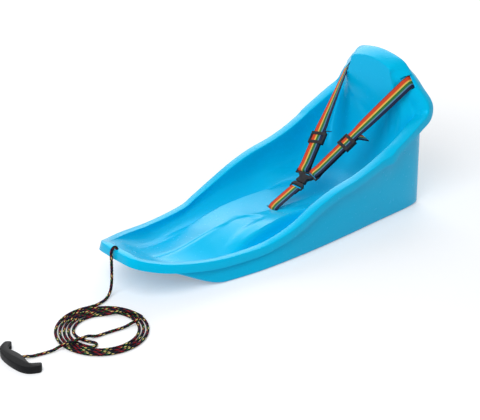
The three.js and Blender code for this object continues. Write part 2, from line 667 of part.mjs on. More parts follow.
// The rope's route in millimetres from the coil's end over it to the handle, from the coil's middle.
const ropeTailRoute = [
  [23.2, 86, 8], [26, 79.6, 8], [27, 73.5, 7.8], [26.4, 66, 6.6],
  [24.5, 54, 3.5], [22.5, 42, 0.6], [20.5, 30, 0], [17, 10, 0], [13.5, -14, 0], [11.8, -27, 1],
  [10.6, -36, 4], [9.6, -45, 7.4], [8.6, -56, 8], [6.5, -76, 8], [4.5, -94, 8], [2.5, -106, 7.4],
  [0.4, -115, 4.4], [-2, -125, 1.2], [-5, -138, 0], [-9.5, -156, 0], [-13.2, -171, 0.6],
  [-16.6, -182, 3.2], [-18.4, -190, 4.6], [-18.6, -197, 4.7], [-18.6, -204.1, 4.7],
];
const ropeFloor = ropeDiameter / 2 + clearance;

// The coil: loops that spiral in, a hairpin, and a return that climbs over them to leave inwards.
const coilCentre = new THREE.Vector3(109.6, -546.6, ropeFloor);
const coilStart = 158 * Math.PI / 180;
const stepsPerLoop = 24;
function coilPoint(angle, radius, lift) {
  return new THREE.Vector3(coilCentre.x + radius * Math.cos(angle),
    coilCentre.y + radius * Math.sin(angle), coilCentre.z + lift);
}
function coilPoints() {
  const points = [];
  const turns = 2 * Math.PI * coilLoops;
  const count = Math.round(stepsPerLoop * coilLoops);
  for (let step = 0; step <= count; step += 1) {
    const share = step / count;
    points.push(coilPoint(coilStart + turns * share,
      coilOuterRadius - coilPitch * coilLoops * share, 0));
  }
  const endAngle = coilStart + turns;
  const innerRadius = coilOuterRadius - coilPitch * coilLoops;
  const centre = coilPoint(endAngle, innerRadius - hairpinRadius, 0);
  for (let step = 1; step <= wrapSteps; step += 1) {
    const turn = endAngle + Math.PI * step / wrapSteps;
    points.push(new THREE.Vector3(centre.x + hairpinRadius * Math.cos(turn),
      centre.y + hairpinRadius * Math.sin(turn), centre.z));
  }
  const returnTurn = 2 * Math.PI * coilReturnLoops;
  const returnSteps = Math.round(stepsPerLoop * coilReturnLoops);
  const low = innerRadius - 2 * hairpinRadius;
  for (let step = 1; step <= returnSteps; step += 1) {
    const share = step / returnSteps;
    const near = low + (innerRadius - ropeDiameter * 1.2 - low) * smooth01(share * 3);
    const radius = near + (coilOuterRadius - 2 * ropeDiameter - near) * smooth01(share * 4 - 3);
    points.push(coilPoint(endAngle - returnTurn * share, radius,
      (ropeDiameter + 3 * clearance) * smooth01(share * 5 - 3.6)));
  }
  return points;
}

// Distance from each stretch of the tube to every other that isn't its neighbour.
function leastSelfGap(points, skip) {
  let least = Infinity;
  for (let i = 0; i < points.length; i += 1) {
    for (let j = i + skip; j < points.length; j += 1) {
      least = Math.min(least, points[i].distanceTo(points[j]) - ropeDiameter);
    }
  }
  return least;
}

function tubeAlong(points, sides) {
  const rows = points.map((point, i) => {
    const before = points[Math.max(i - 1, 0)];
    const after = points[Math.min(i + 1, points.length - 1)];
    const along = after.clone().sub(before).normalize();
    const side = new THREE.Vector3().crossVectors(upward, along).normalize();
    const top = new THREE.Vector3().crossVectors(along, side).normalize();
    return Array.from({ length: sides }, (_, k) => {
      const turn = 2 * Math.PI * k / sides;
      return point.clone().addScaledVector(side, ropeDiameter / 2 * Math.cos(turn))
        .addScaledVector(top, ropeDiameter / 2 * Math.sin(turn));
    });
  });
  return closedTube(rows);
}

// A knot: a round lump that the rope ends in.
function knot(centre) {
  return new THREE.SphereGeometry(knotRadius, 12, 8).scale(1, knotFlatness, 1)
    .rotateX(Math.PI / 2).translate(centre.x, centre.y, centre.z);
}

// The pull handle lies flat: a bow with a channel along its inner side, ribs and a middle boss.
const handleCentre = new THREE.Vector3(91, -757, 0);
const handleOuterShares = [[0, -0.5], [0.24, -0.4], [0.4, -0.08], [0.485, 0.48], [0.5, 0.8]];
const handleInnerShares = [[0.43, 1.08], [0.37, 0.78], [0.3, 0.42], [0.17, 0.5], [0.08, 0.56],
  [0, 0.58]];
const handlePoint = ([x, y]) => new THREE.Vector2(x * handleLength, y * handleGrip);
function handleOutline() {
  const half = [...handleOuterShares, ...handleInnerShares].map(handlePoint);
  const curve = new THREE.SplineCurve(half).getPoints(30);
  const mirrored = curve.slice(1, -1).reverse().map((p) => new THREE.Vector2(-p.x, p.y));
  return new THREE.Shape([...curve, ...mirrored]);
}

const handleWall = 4;
const handleCellDepth = 1.2 * handleGrip;
const handleCells = [[0.11, 0.19], [0.215, 0.3], [0.325, 0.4]];
function pullHandle() {
  const bevel = handleWall / 2;
  const blank = new THREE.ExtrudeGeometry(handleOutline(), { depth: handleHeight - 2 * bevel,
    bevelSize: bevel, bevelOffset: -bevel, bevelThickness: bevel, bevelSegments: 2 });
  let handle = solid(blank.translate(0, 0, bevel));
  const channelHeight = handleHeight - 2 * handleWall;
  for (const side of [1, -1]) {
    for (const [from, to] of handleCells) {
      const width = (to - from) * handleLength;
      const floor = handleGrip * 2 * (from - handleCells[0][1]);
      const cell = new THREE.BoxGeometry(width, handleCellDepth, channelHeight).translate(
        side * (from + to) / 2 * handleLength, handleCellDepth / 2 + floor, handleHeight / 2);
      handle = handle.subtract(solid(cell));
    }
  }
  const holeRadius = ropeDiameter / 2 + 2 * clearance;
  const hole = new THREE.CylinderGeometry(holeRadius, holeRadius, handleGrip, roundSides)
    .translate(0, handleGrip / 2, handleHeight / 2);
  const pocketRadius = knotRadius + 2 * clearance;
  const pocket = new THREE.CylinderGeometry(pocketRadius, pocketRadius, handleHeight, roundSides)
    .rotateX(Math.PI / 2).translate(0, 0, pocketRadius);
  handle = handle.subtract(solid(hole)).subtract(solid(pocket));
  return toGeometry(handle.translate([handleCentre.x, handleCentre.y, handleCentre.z]));
}

const sled = new THREE.Group();
const look = (color, roughness) =>
  new THREE.MeshStandardMaterial({ color, roughness, metalness: 0 });
function addPiece(name, geometry, surface) {
  const mesh = new THREE.Mesh(geometry, surface);
  mesh.name = name;
  sled.add(mesh);
}

addPiece('sled_shell', hullShell(), look(0x2fa8e0, 0.35));
for (const [name, side] of [['left', 1], ['right', -1]]) {
  addPiece(`${name}_shoulder_strap`, shoulderStrap(side), look(0xc94a2c, 0.85));
  addPiece(`${name}_strap_slider`, slider(side), look(0x222428, 0.5));
  addPiece(`${name}_strap_keeper`, rod(keeperCentre(side), slotWidthways(side), keeperLength,
    keeperRadius), look(0x222428, 0.5));
  addPiece(`${name}_release_arm`, releaseArm(side), look(0x222428, 0.5));
}
addPiece('buckle_socket', buckleSocket(), look(0x222428, 0.5));
addPiece('buckle_insert', buckleInsert(), look(0x222428, 0.5));
addPiece('crotch_strap', crotchStrap(), look(0xc94a2c, 0.85));
addPiece('crotch_strap_keeper', rod(crotchKeeper, across, keeperLength, keeperRadius),
  look(0x222428, 0.5));

const coil = coilPoints();
console.log(`rope coil: least gap to itself ${leastSelfGap(coil, 8).toFixed(2)} mm`);
const ropeLook = look(0x20222c, 0.8);
const coilStartWay = coil[1].clone().sub(coil[0]).normalize();
const leadPoints = ropeLeadRoute.map(([x, y, z]) => ropeHole.clone()
  .add(new THREE.Vector3(x, y, z)));
leadPoints.push(coil[0].clone().addScaledVector(coilStartWay, -ropeDiameter),
  coil[0].clone().addScaledVector(coilStartWay, -clearance));
addPiece('rope_coil', tubeAlong(coil, 6), ropeLook.clone());
addPiece('rope_lead', ropeTube(leadPoints, 40, 8), ropeLook.clone());
const coilEnd = coil.at(-1);
const coilEndWay = coilEnd.clone().sub(coil.at(-2)).normalize();
const tailPoints = [coilEnd.clone().addScaledVector(coilEndWay, clearance),
  coilEnd.clone().addScaledVector(coilEndWay, ropeDiameter),
  ...ropeTailRoute.map(([x, y, z]) => coilCentre.clone().add(new THREE.Vector3(x, y, z)))];
addPiece('rope_tail', ropeTube(tailPoints, 36, 8), ropeLook.clone());
addPiece('toe_knot', knot(ropeHole.clone().addScaledVector(upward, -knotFlatness * knotRadius)),
  ropeLook.clone());
addPiece('handle_knot', knot(new THREE.Vector3(handleCentre.x, handleCentre.y,
  handleHeight / 2)), ropeLook.clone());
addPiece('pull_handle', pullHandle(), look(0x1a1b1e, 0.5));

export default sled;
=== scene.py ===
# %% [markdown]
# # A baby pull sled in Blender
# The sled is one moulded hull with a harness of striped webbing, and a braided rope with a handle.
# The CAD frame already says where every piece is, so this lesson only makes what the eye meets:
# the soft edges of the moulding, the weave, the braid, the finishes and the light.
# %% Load the frame
import math

import bmesh
import bpy
from mathutils import Matrix, Vector


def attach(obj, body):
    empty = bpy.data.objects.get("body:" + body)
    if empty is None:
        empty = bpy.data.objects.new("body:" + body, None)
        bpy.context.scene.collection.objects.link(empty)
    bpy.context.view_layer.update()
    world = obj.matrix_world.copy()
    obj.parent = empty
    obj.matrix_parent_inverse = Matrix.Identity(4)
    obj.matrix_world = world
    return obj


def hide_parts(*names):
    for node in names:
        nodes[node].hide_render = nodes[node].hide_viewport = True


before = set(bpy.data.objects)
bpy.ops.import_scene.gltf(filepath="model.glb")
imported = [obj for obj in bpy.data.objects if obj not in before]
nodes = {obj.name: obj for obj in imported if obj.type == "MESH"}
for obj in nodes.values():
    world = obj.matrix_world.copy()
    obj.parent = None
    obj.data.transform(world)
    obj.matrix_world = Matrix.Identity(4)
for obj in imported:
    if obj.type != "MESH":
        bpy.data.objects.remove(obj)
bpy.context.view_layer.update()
scene = bpy.context.scene
MM = 0.001

# %% [markdown]
# ## The camera
# The camera stands before the toe on the sled's left, where the fitted view puts it. The picture is
# 480 pixels wide and the fitted focal length is 1500 of them, so a 36 mm sensor needs 112.5 mm.
# %% Camera
PICTURE_WIDTH = 480
FOCAL_PIXELS = 1500
SENSOR_WIDTH = 36
CAMERA_PLACE = (2.317, -2.1355, 1.653)
CAMERA_AZIMUTH = 48.16
CAMERA_ELEVATION = 26.81

lens = bpy.data.cameras.new("photo_camera")
lens.sensor_width = SENSOR_WIDTH
lens.lens = FOCAL_PIXELS / PICTURE_WIDTH * SENSOR_WIDTH
camera = bpy.data.objects.new("photo_camera", lens)
camera.location = CAMERA_PLACE
camera.rotation_euler = (math.radians(90 - CAMERA_ELEVATION), 0, math.radians(CAMERA_AZIMUTH))
scene.collection.objects.link(camera)
scene.camera = camera
print("camera: lens", round(lens.lens, 1), "mm")

# %% [markdown]
# ## Colours, nodes and pieces
# Small helpers serve every piece. One turns an sRGB hex value into the linear colour that a shader
# wants, some add shader nodes with their settings and links, and one makes an object of a bmesh.
# %% Helpers
def linear(hex_colour):
    """An sRGB hex colour as linear red, green, blue and alpha."""
    shares = [int(hex_colour[i:i + 2], 16) / 255 for i in (1, 3, 5)]
    return [s / 12.92 if s <= 0.04045 else ((s + 0.055) / 1.055) ** 2.4 for s in shares] + [1]


def add_node(tree, kind, settings=None, links=None):
    """Add a node. Settings name a socket, a socket's place or a property; links name a socket."""
    node = tree.nodes.new(kind)
    for key, value in (settings or {}).items():
        if isinstance(key, int) or key in node.inputs:
            node.inputs[key].default_value = value
        else:
            setattr(node, key, value)
    for key, source in (links or {}).items():
        tree.links.new(source, node.inputs[key])
    return node


def new_material(name):
    """A material with nodes, as (material, its tree, its shader)."""
    material = bpy.data.materials.new(name)
    material.use_nodes = True
    tree = material.node_tree
    return material, tree, tree.nodes["Principled BSDF"]


def bands(tree, value, stops):
    """Plain bands of colour over a value from 0 to 1: each stop has its start and colour."""
    node = add_node(tree, "ShaderNodeValToRGB", links={0: value})
    ramp = node.color_ramp
    ramp.interpolation = "CONSTANT"
    for i, (position, colour) in enumerate(stops):
        stop = ramp.elements[0] if i == 0 else ramp.elements.new(position)
        stop.position, stop.color = position, linear(colour)
    ramp.elements.remove(ramp.elements[-1])
    return node.outputs[0]


def noise(tree, size, detail):
    """Noise fixed to the object, with features of about the given size in millimetres."""
    place = add_node(tree, "ShaderNodeTexCoord")
    grain = add_node(tree, "ShaderNodeTexNoise", {"Scale": 1 / (size * MM), "Detail": detail},
                     {"Vector": place.outputs["Object"]})
    return grain.outputs["Fac"]


def map_range(tree, value, low, high):
    """A value from 0 to 1 mapped to the range from low to high."""
    return add_node(tree, "ShaderNodeMapRange", {"To Min": low, "To Max": high},
                    {0: value}).outputs[0]


def add_bump(tree, shader, height, strength, distance):
    """Bend a shader's normal by a height. The distance is in millimetres."""
    bump = add_node(tree, "ShaderNodeBump", {"Strength": strength, "Distance": distance * MM},
                    {"Height": height})
    tree.links.new(bump.outputs[0], shader.inputs["Normal"])


def seen_by(tree, *rays):
    """1 for the named kinds of ray and 0 for all others."""
    path = add_node(tree, "ShaderNodeLightPath")
    share = path.outputs[rays[0]]
    for ray in rays[1:]:
        share = add_node(tree, "ShaderNodeMath", {"operation": "MAXIMUM"},
                         {0: share, 1: path.outputs[ray]}).outputs[0]
    return share


def to_piece(bm, name, material, sharp_angle=40):
    """Make an object of a bmesh, smooth but for edges sharper than the angle in degrees."""
    mesh = bpy.data.meshes.new(name)
    bm.to_mesh(mesh)
    bm.free()
    mesh.shade_smooth()
    mesh.set_sharp_from_angle(angle=math.radians(sharp_angle))
    mesh.materials.append(material)
    piece = bpy.data.objects.new(name, mesh)
    scene.collection.objects.link(piece)
    return piece


def smooth_share(value):
    """0 below 0 and 1 above 1, with a soft rise between them."""
    value = min(max(value, 0), 1)
    return value * value * (3 - 2 * value)


def rise(value, start, end):
    """0 before the start and 1 past the end, with a soft rise between them."""
    return smooth_share((value - start) / (end - start))


def placed_grid(columns, rows, place):
    """A grid of columns by rows faces with a UV map, each point put where place() says."""
    bm = bmesh.new()
    layer = bm.loops.layers.uv.verify()
    bmesh.ops.create_grid(bm, x_segments=columns, y_segments=rows, size=0.5, calc_uvs=True)
    for vert in bm.verts:
        column = round((vert.co.x + 0.5) * columns)
        row = round((vert.co.y + 0.5) * rows)
        vert.co = place(column, row)
    return bm, layer

# %% [markdown]
# ## The rope's route
# The rope is 7 mm braided cord. It comes up through a hole in the toe, bends over the lip, hangs to
# the ground, lies there in a loose coil of some three loops and ends in a knot inside the handle.
# The route repeats the solids' own points, in millimetres, and one smooth line runs through them.
# %% Route of the rope
ROPE_DIAMETER = 7
ROPE_HOLE = Vector((0, -419.82, 103.94))
COIL_CENTRE = Vector((109.6, -546.6, 3.8))
COIL_START = math.radians(158)
COIL_RADIUS = 101
COIL_PITCH = 9
COIL_LOOPS = 3.4
HAIRPIN_RADIUS = 9
RETURN_LOOPS = 0.61
STEPS_PER_LOOP = 24
HAIRPIN_STEPS = 8
CLIMB = ROPE_DIAMETER + 0.9
LEAD_ROUTE = [
    (0, 0, 0.3), (0, -0.2, 4.5), (0, -2.4, 8.4), (0, -7, 10.4), (0, -12, 8), (0, -15.4, 1.5),
    (0, -16.2, -7), (0, -16.2, -16), (0, -16.3, -36), (0, -17, -57), (0.5, -19, -76),
    (3, -25, -91), (8, -36, -98.2), (13, -48, -100.15), (16.6, -61, -100.15),
    (17.9, -73, -100.15)]
TAIL_ROUTE = [
    (23.2, 86, 8), (26, 79.6, 8), (27, 73.5, 7.8), (26.4, 66, 6.6), (24.5, 54, 3.5),
    (22.5, 42, 0.6), (20.5, 30, 0), (17, 10, 0), (13.5, -14, 0), (11.8, -27, 1), (10.6, -36, 4),
    (9.6, -45, 7.4), (8.6, -56, 8), (6.5, -76, 8), (4.5, -94, 8), (2.5, -106, 7.4),
    (0.4, -115, 4.4), (-2, -125, 1.2), (-5, -138, 0), (-9.5, -156, 0), (-13.2, -171, 0.6),
    (-16.6, -182, 3.2), (-18.4, -190, 4.6), (-18.6, -197, 4.7), (-18.6, -204.1, 4.7)]


def coil_point(angle, radius, lift=0):
    """A point of the coil, lifted off the ground where the rope lies on itself."""
    return COIL_CENTRE + Vector((radius * math.cos(angle), radius * math.sin(angle), lift))


def coil_route():
    """Loops that spiral in, a hairpin, and a return that climbs over them to leave inwards."""
    turns = 2 * math.pi * COIL_LOOPS
    steps = round(STEPS_PER_LOOP * COIL_LOOPS)
    inner = COIL_RADIUS - COIL_PITCH * COIL_LOOPS
    points = [coil_point(COIL_START + turns * step / steps,
                         COIL_RADIUS - COIL_PITCH * COIL_LOOPS * step / steps)
              for step in range(steps + 1)]
    end = COIL_START + turns
    middle = coil_point(end, inner - HAIRPIN_RADIUS)
    for step in range(1, HAIRPIN_STEPS + 1):
        turn = end + math.pi * step / HAIRPIN_STEPS
        points.append(middle + HAIRPIN_RADIUS * Vector((math.cos(turn), math.sin(turn), 0)))
    back = round(STEPS_PER_LOOP * RETURN_LOOPS)
    low = inner - 2 * HAIRPIN_RADIUS
    for step in range(1, back + 1):
        share = step / back
        near = low + (inner - ROPE_DIAMETER * 1.2 - low) * rise(share, 0, 1 / 3)
        radius = near + (COIL_RADIUS - 2 * ROPE_DIAMETER - near) * rise(share, 0.75, 1)
        points.append(coil_point(end - 2 * math.pi * RETURN_LOOPS * share, radius,
                                 CLIMB * rise(share, 0.72, 0.92)))
    return points


SPLINE_STEPS = 16


def smooth_line(points, spacing):
    """Points an even spacing apart on the centripetal spline through the given points."""
    ends = [2 * points[0] - points[1], *points, 2 * points[-1] - points[-2]]
    fine = []
    for before, start, stop, after in zip(ends, ends[1:], ends[2:], ends[3:]):
        gaps = [max((b - a).length, 1e-6) ** 0.5
                for a, b in ((before, start), (start, stop), (stop, after))]
        leave = ((start - before) / gaps[0] - (stop - before) / (gaps[0] + gaps[1])
                 + (stop - start) / gaps[1]) * gaps[1]
        arrive = ((stop - start) / gaps[1] - (after - start) / (gaps[1] + gaps[2])
                  + (after - stop) / gaps[2]) * gaps[1]
        for step in range(SPLINE_STEPS):
            s = step / SPLINE_STEPS
            fine.append(start * (2 * s**3 - 3 * s**2 + 1) + leave * (s**3 - 2 * s**2 + s)
                        + stop * (3 * s**2 - 2 * s**3) + arrive * (s**3 - s**2))
    fine.append(points[-1].copy())
    travelled = [0]
    for a, b in zip(fine, fine[1:]):
        travelled.append(travelled[-1] + (b - a).length)
    count = round(travelled[-1] / spacing)
    even, at = [], 0
    for step in range(count + 1):
        want = travelled[-1] * step / count
        while at < len(fine) - 2 and travelled[at + 1] < want:
            at += 1
        share = (want - travelled[at]) / (travelled[at + 1] - travelled[at])
        even.append(fine[at].lerp(fine[at + 1], min(share, 1)))
    return even, travelled[-1]


lead = [ROPE_HOLE + Vector(step) for step in LEAD_ROUTE]
tail = [COIL_CENTRE + Vector(step) for step in TAIL_ROUTE]
RING_SPACING = 1.25
rope_line, rope_length = smooth_line([*lead, *coil_route(), *tail], RING_SPACING)
print("rope:", round(rope_length), "mm long in", len(rope_line), "rings")

# %% [markdown]
# ## The braid
# A sled's pull cord is braided of black polypropylene yarn with a few coloured strands, which show
# as flecks where they cross over. The strands are real relief on a tube: a grid is rolled round the
# route, and its radius rises where a strand lies on top. The UV map carries the length in metres
# and the turn round the rope, so that the colours follow the same strands. The real braid has
# sixteen thin strands, and it is drawn with twelve, because finer flecks would not show.
# %% Braided rope
STRANDS_EACH_WAY = 6
STRAND_TURN = 44
STRAND_RELIEF = 0.55
SIDES = 24


def rolled_frames(line):
    """A tangent and an untwisted side direction at each point of a line."""
    sideways = Vector((1, 0, 0))
    frames = []
    for i, point in enumerate(line):
        along = (line[min(i + 1, len(line) - 1)] - line[max(i - 1, 0)]).normalized()
        sideways = (sideways - along * sideways.dot(along)).normalized()
        frames.append((point, along, sideways, along.cross(sideways)))
    return frames


def braided_rope(line, name, material):
    """A closed tube along the line, with the braid's strands as relief."""
    frames = rolled_frames(line)
    last = len(line) - 1

    def place(column, row):
        point, along, sideways, upward = frames[row]
        turn = column / SIDES
        travelled = row * RING_SPACING / STRAND_TURN
        one = math.cos(math.pi * STRANDS_EACH_WAY * (turn + travelled))
        other = math.cos(math.pi * STRANDS_EACH_WAY * (turn - travelled))
        radius = ROPE_DIAMETER / 2 - STRAND_RELIEF * (1 - abs(one * other))
        angle = 2 * math.pi * turn
        return (point + radius * (math.cos(angle) * sideways + math.sin(angle) * upward)) * MM

    bm, layer = placed_grid(SIDES, last, place)
    for face in bm.faces:
        for loop in face.loops:
            u, v = loop[layer].uv
            loop[layer].uv = (v * rope_length * MM, u)
    bmesh.ops.remove_doubles(bm, verts=bm.verts, dist=0.01 * MM)
    bmesh.ops.holes_fill(bm, edges=[e for e in bm.edges if e.is_boundary], sides=SIDES + 1)
    bmesh.ops.recalc_face_normals(bm, faces=bm.faces)
    return to_piece(bm, name, material, 70)


FIRST_WAY = ("#8f1c24", "#0c0d13", "#1c5a2e", "#0c0d13", "#0f1630", "#08090d")
OTHER_WAY = ("#0c0d13", "#d2bd78", "#0c0d13", "#0f1630", "#6a161d", "#08090d")


def braided_polypropylene():
    """Braided polypropylene: dull yarn, dark, with single strands of red, green and cream."""
    material, tree, shader = new_material("braided_polypropylene")
    rope_map = add_node(tree, "ShaderNodeUVMap")
    parts = add_node(tree, "ShaderNodeSeparateXYZ", links={0: rope_map.outputs["UV"]})
    turns = add_node(tree, "ShaderNodeMath", {"operation": "MULTIPLY", 1: 1 / (STRAND_TURN * MM)},
                     {0: parts.outputs["X"]})
    strands = []
    for way in ("ADD", "SUBTRACT"):
        mixed = add_node(tree, "ShaderNodeMath", {"operation": way},
                         {0: parts.outputs["Y"], 1: turns.outputs[0]})
        counted = add_node(tree, "ShaderNodeMath",
                           {"operation": "MULTIPLY_ADD", 1: STRANDS_EACH_WAY, 2: 0.5},
                           {0: mixed.outputs[0]})
        strands.append(add_node(tree, "ShaderNodeMath", {"operation": "FLOOR"},
                                {0: counted.outputs[0]}))
    both = add_node(tree, "ShaderNodeMath", {"operation": "ADD"},
                    {0: strands[0].outputs[0], 1: strands[1].outputs[0]})
    on_top = add_node(tree, "ShaderNodeMath", {"operation": "FLOORED_MODULO", 1: 2},
                      {0: both.outputs[0]})
    yarns = []
    for strand, colours in zip(strands, (FIRST_WAY, OTHER_WAY)):
        number = add_node(tree, "ShaderNodeMath",
                          {"operation": "FLOORED_MODULO", 1: STRANDS_EACH_WAY},
                          {0: strand.outputs[0]})
        share = add_node(tree, "ShaderNodeMath",
                         {"operation": "MULTIPLY_ADD", 1: 1 / STRANDS_EACH_WAY,
                          2: 0.5 / STRANDS_EACH_WAY}, {0: number.outputs[0]})
        yarns.append(bands(tree, share.outputs[0],
                           [(i / len(colours), colour) for i, colour in enumerate(colours)]))
    braid = add_node(tree, "ShaderNodeMix", {"data_type": "RGBA"})
    tree.links.new(on_top.outputs[0], braid.inputs["Factor"])
    tree.links.new(yarns[0], braid.inputs[6])
    tree.links.new(yarns[1], braid.inputs[7])
    tree.links.new(braid.outputs[2], shader.inputs["Base Color"])
    add_bump(tree, shader, noise(tree, 0.6, 2), 0.5, 0.2)
    shader.inputs["Roughness"].default_value = 0.7
    shader.inputs["Specular IOR Level"].default_value = 0.1
    return material


rope_yarn = braided_polypropylene()
rope = braided_rope(rope_line, "pull_rope", rope_yarn)
print("pull rope:", len(rope.data.polygons), "faces")

# %% [markdown]
# ## The hull's guide lines
# The hull is lofted from guide lines that run once round it: the rim's crease, the line down the
# middle of its inside, the top and the foot of its side wall, and the keel. Each has a row for
# every knot from the middle of the toe round the left side to the middle of the head, as shares of
# the half width, the half length and the height, and the right side mirrors the left.
# %% Guide lines
HALF_WIDTH = 162
HALF_LENGTH = 429
HEIGHT = 366
SPAN = Vector((HALF_WIDTH, HALF_LENGTH, HEIGHT))
rim_shares = [
    (0, -0.9978, 0.292), (0.32, -0.9858, 0.29), (0.494, -0.902, 0.251), (0.648, -0.769, 0.213),
    (0.778, -0.543, 0.172), (0.877, -0.298, 0.167), (0.938, -0.179, 0.194),
    (0.975, -0.048, 0.243), (0.975, 0.103, 0.314), (0.975, 0.248, 0.363), (0.975, 0.402, 0.393),
    (0.978, 0.556, 0.443), (1, 0.705, 0.516), (0.975, 0.867, 0.607), (0.948, 0.945, 0.654),
    (0.895, 0.958, 0.717), (0.745, 0.945, 0.805), (0.572, 0.94, 0.908), (0.405, 0.94, 0.972),
    (0, 0.94, 1)]
spine_shares = [
    (0, -0.946, 0.265), (0, -0.914, 0.243), (0, -0.844, 0.197), (0, -0.737, 0.137),
    (0, -0.571, 0.126), (0, -0.396, 0.156), (0, -0.252, 0.172), (0, -0.117, 0.169),
    (0, 0.023, 0.145), (0, 0.163, 0.126), (0, 0.315, 0.115), (0, 0.478, 0.117),
    (0, 0.629, 0.15), (0, 0.741, 0.23), (0, 0.801, 0.355), (0, 0.831, 0.492),
    (0, 0.842, 0.642), (0, 0.842, 0.792), (0, 0.841, 0.902), (0, 0.842, 0.951)]
wall_top_shares = [
    (0, -0.965, 0), (0.284, -0.953, 0), (0.444, -0.879, 0), (0.593, -0.76, 0),
    (0.722, -0.541, 0), (0.821, -0.298, 0), (0.877, -0.179, 0), (0.914, -0.047, 0),
    (0.914, 0.105, 0), (0.914, 0.247, 0), (0.914, 0.401, 0), (0.914, 0.555, 0),
    (0.907, 0.704, 0), (0.895, 0.83, 0), (0.862, 0.908, 0), (0.8, 0.942, 0),
    (0.642, 0.946, 0), (0.469, 0.946, 0), (0.259, 0.937, 0), (0, 0.932, 0)]
base_shares = [
    (0, -0.96, 0.224), (0.302, -0.949, 0.221), (0.469, -0.867, 0.191), (0.605, -0.751, 0.128),
    (0.765, -0.541, 0.008), (0.87, -0.326, 0), (0.907, -0.182, 0), (0.926, -0.047, 0),
    (0.938, 0.105, 0), (0.938, 0.247, 0), (0.932, 0.401, 0), (0.92, 0.555, 0), (0.914, 0.699, 0),
    (0.905, 0.832, 0), (0.874, 0.914, 0), (0.812, 0.947, 0), (0.675, 0.96, 0),
    (0.494, 0.964, 0), (0.259, 0.964, 0), (0, 0.964, 0)]
keel_shares = [
    (0, -0.951, 0.219), (0, -0.928, 0.202), (0, -0.867, 0.158), (0, -0.751, 0.082),
    (0, -0.583, 0), (0, -0.396, 0), (0, -0.252, 0), (0, -0.117, 0), (0, 0.023, 0),
    (0, 0.163, 0), (0, 0.315, 0), (0, 0.478, 0), (0, 0.629, 0), (0, 0.741, 0), (0, 0.816, 0),
    (0, 0.874, 0), (0, 0.914, 0), (0, 0.937, 0), (0, 0.953, 0), (0, 0.958, 0)]
band_shares = [0.73, 0.73, 0.73, 0.77, 0.77, 0.82, 0.86, 0.95, 1, 1.05, 1.05, 1.1, 1.25, 1.4,
               1.6, 1.8, 1.85, 2, 2, 1.95]
band_turn_shares = [0] * 13 + [0.12, 0.35, 0.62, 0.88, 1, 1, 1]
band_aim_shares = [0] * 15 + [0.1, 0.4, 0.8, 1, 1]
lip_turn_shares = [0] * 13 + [0.12, 0.35, 0.6, 0.5, 0.25, 0, 0]
hollow_shares = [1] * 13 + [0.8, 0.4, 0.1, 0, 0, 0, 0]
hump_width_shares = [0.5, 0.5, 0.55, 0.62, 0.66, 0.62, 0.56, 0.52] + [0.5] * 12
hump_edge_shares = [0, 0, 0, -0.01, -0.05, -0.062, -0.028, 0, 0.028, 0.036, 0.02] + [0] * 9
footwell_shares = [0, 0, 0, 0, 0.25, 0.85, 1, 1, 1, 0.9, 0.35] + [0] * 9
section_powers = [1.9, 1.9, 1.9, 2.1, 2.6, 3] + [3] * 14


def closed_spline(values):
    """A function of t from 0 to 1 round the closed line through left and mirrored values."""
    count = len(values)

    def at(t):
        t = t % 1 * count
        i = int(t) % count
        s = t - int(t)
        before, start, stop, after = (values[(i + k) % count] for k in (-1, 0, 1, 2))
        leave = (stop - before) * 0.5
        arrive = (after - start) * 0.5
        return (start * (2 * s**3 - 3 * s**2 + 1) + leave * (s**3 - 2 * s**2 + s)
                + stop * (3 * s**2 - 2 * s**3) + arrive * (s**3 - s**2))
    return at


def guide(rows):
    """A closed line in millimetres from rows of shares on the left side."""
    left = [Vector(row) * SPAN for row in rows]
    return closed_spline([*left, *(Vector((-p.x, p.y, p.z)) for p in left[-2:0:-1])])


def guide_value(shares):
    """A closed run of values from shares on the left side."""
    return closed_spline([*shares, *shares[-2:0:-1]])


rim_line, spine_line, wall_top_line, base_line, keel_line = (
    guide(rows) for rows in (rim_shares, spine_shares, wall_top_shares, base_shares, keel_shares))
(band_at, band_turn_at, band_aim_at, lip_turn_at, hollow_at, hump_width_at, hump_edge_at,
 footwell_at, power_at) = (
    guide_value(shares) for shares in (band_shares, band_turn_shares, band_aim_shares,
                                       lip_turn_shares, hollow_shares, hump_width_shares,
                                       hump_edge_shares, footwell_shares, section_powers))
print("guides: rim from z", round(rim_line(0.15).z), "to", round(rim_line(0.5).z), "mm")

# %% [markdown]
# ## The hull's section
# At each station the section climbs from the middle over the hump and up the inside, rolls over
# the band of the rim, drops down the lip, turns under it and goes down the side wall to the
# bottom. Every edge of a moulding has a small radius, which is what catches the light, so each
# corner of the section is rounded by a few points.
# %% Section
BAND_WIDTH = 22
LIP_DEPTH = 20
LIP_SLANT = 3
LIP_THICKNESS = 3
BAND_THICKNESS = 4
FOOTWELL_FLOOR = 23
INSIDE_SHARES = (0, 0.0006, 0.0015, 0.004, 0.01, *(step / 36 for step in range(1, 36)))
HUMP_STEP_SHARE = 0.25
HUMP_SIDE_SHARE = 0.16
HEAD_TAPER = 0.8
HEAD_SLOPE = 0.3
NOTCH_STATION = 0.304
NOTCH_HALF_LENGTH = 0.009
NOTCH_REACH = 4
NOTCH_DROP = 7
# Each corner's radius, what it gains at the solid head, and the steps of its arc.
CORNERS = ((2.5, 8, 3), (6, 14, 2), (1.6, 5, 4), (1.4, 0, 2), (1, 0, 1), (2, 0, 1), (3, 0, 2),
           (1, 0, 1), (7, 0, 4), (1, 0, 1))


def clamp01(value):
    return min(max(value, 0), 1)


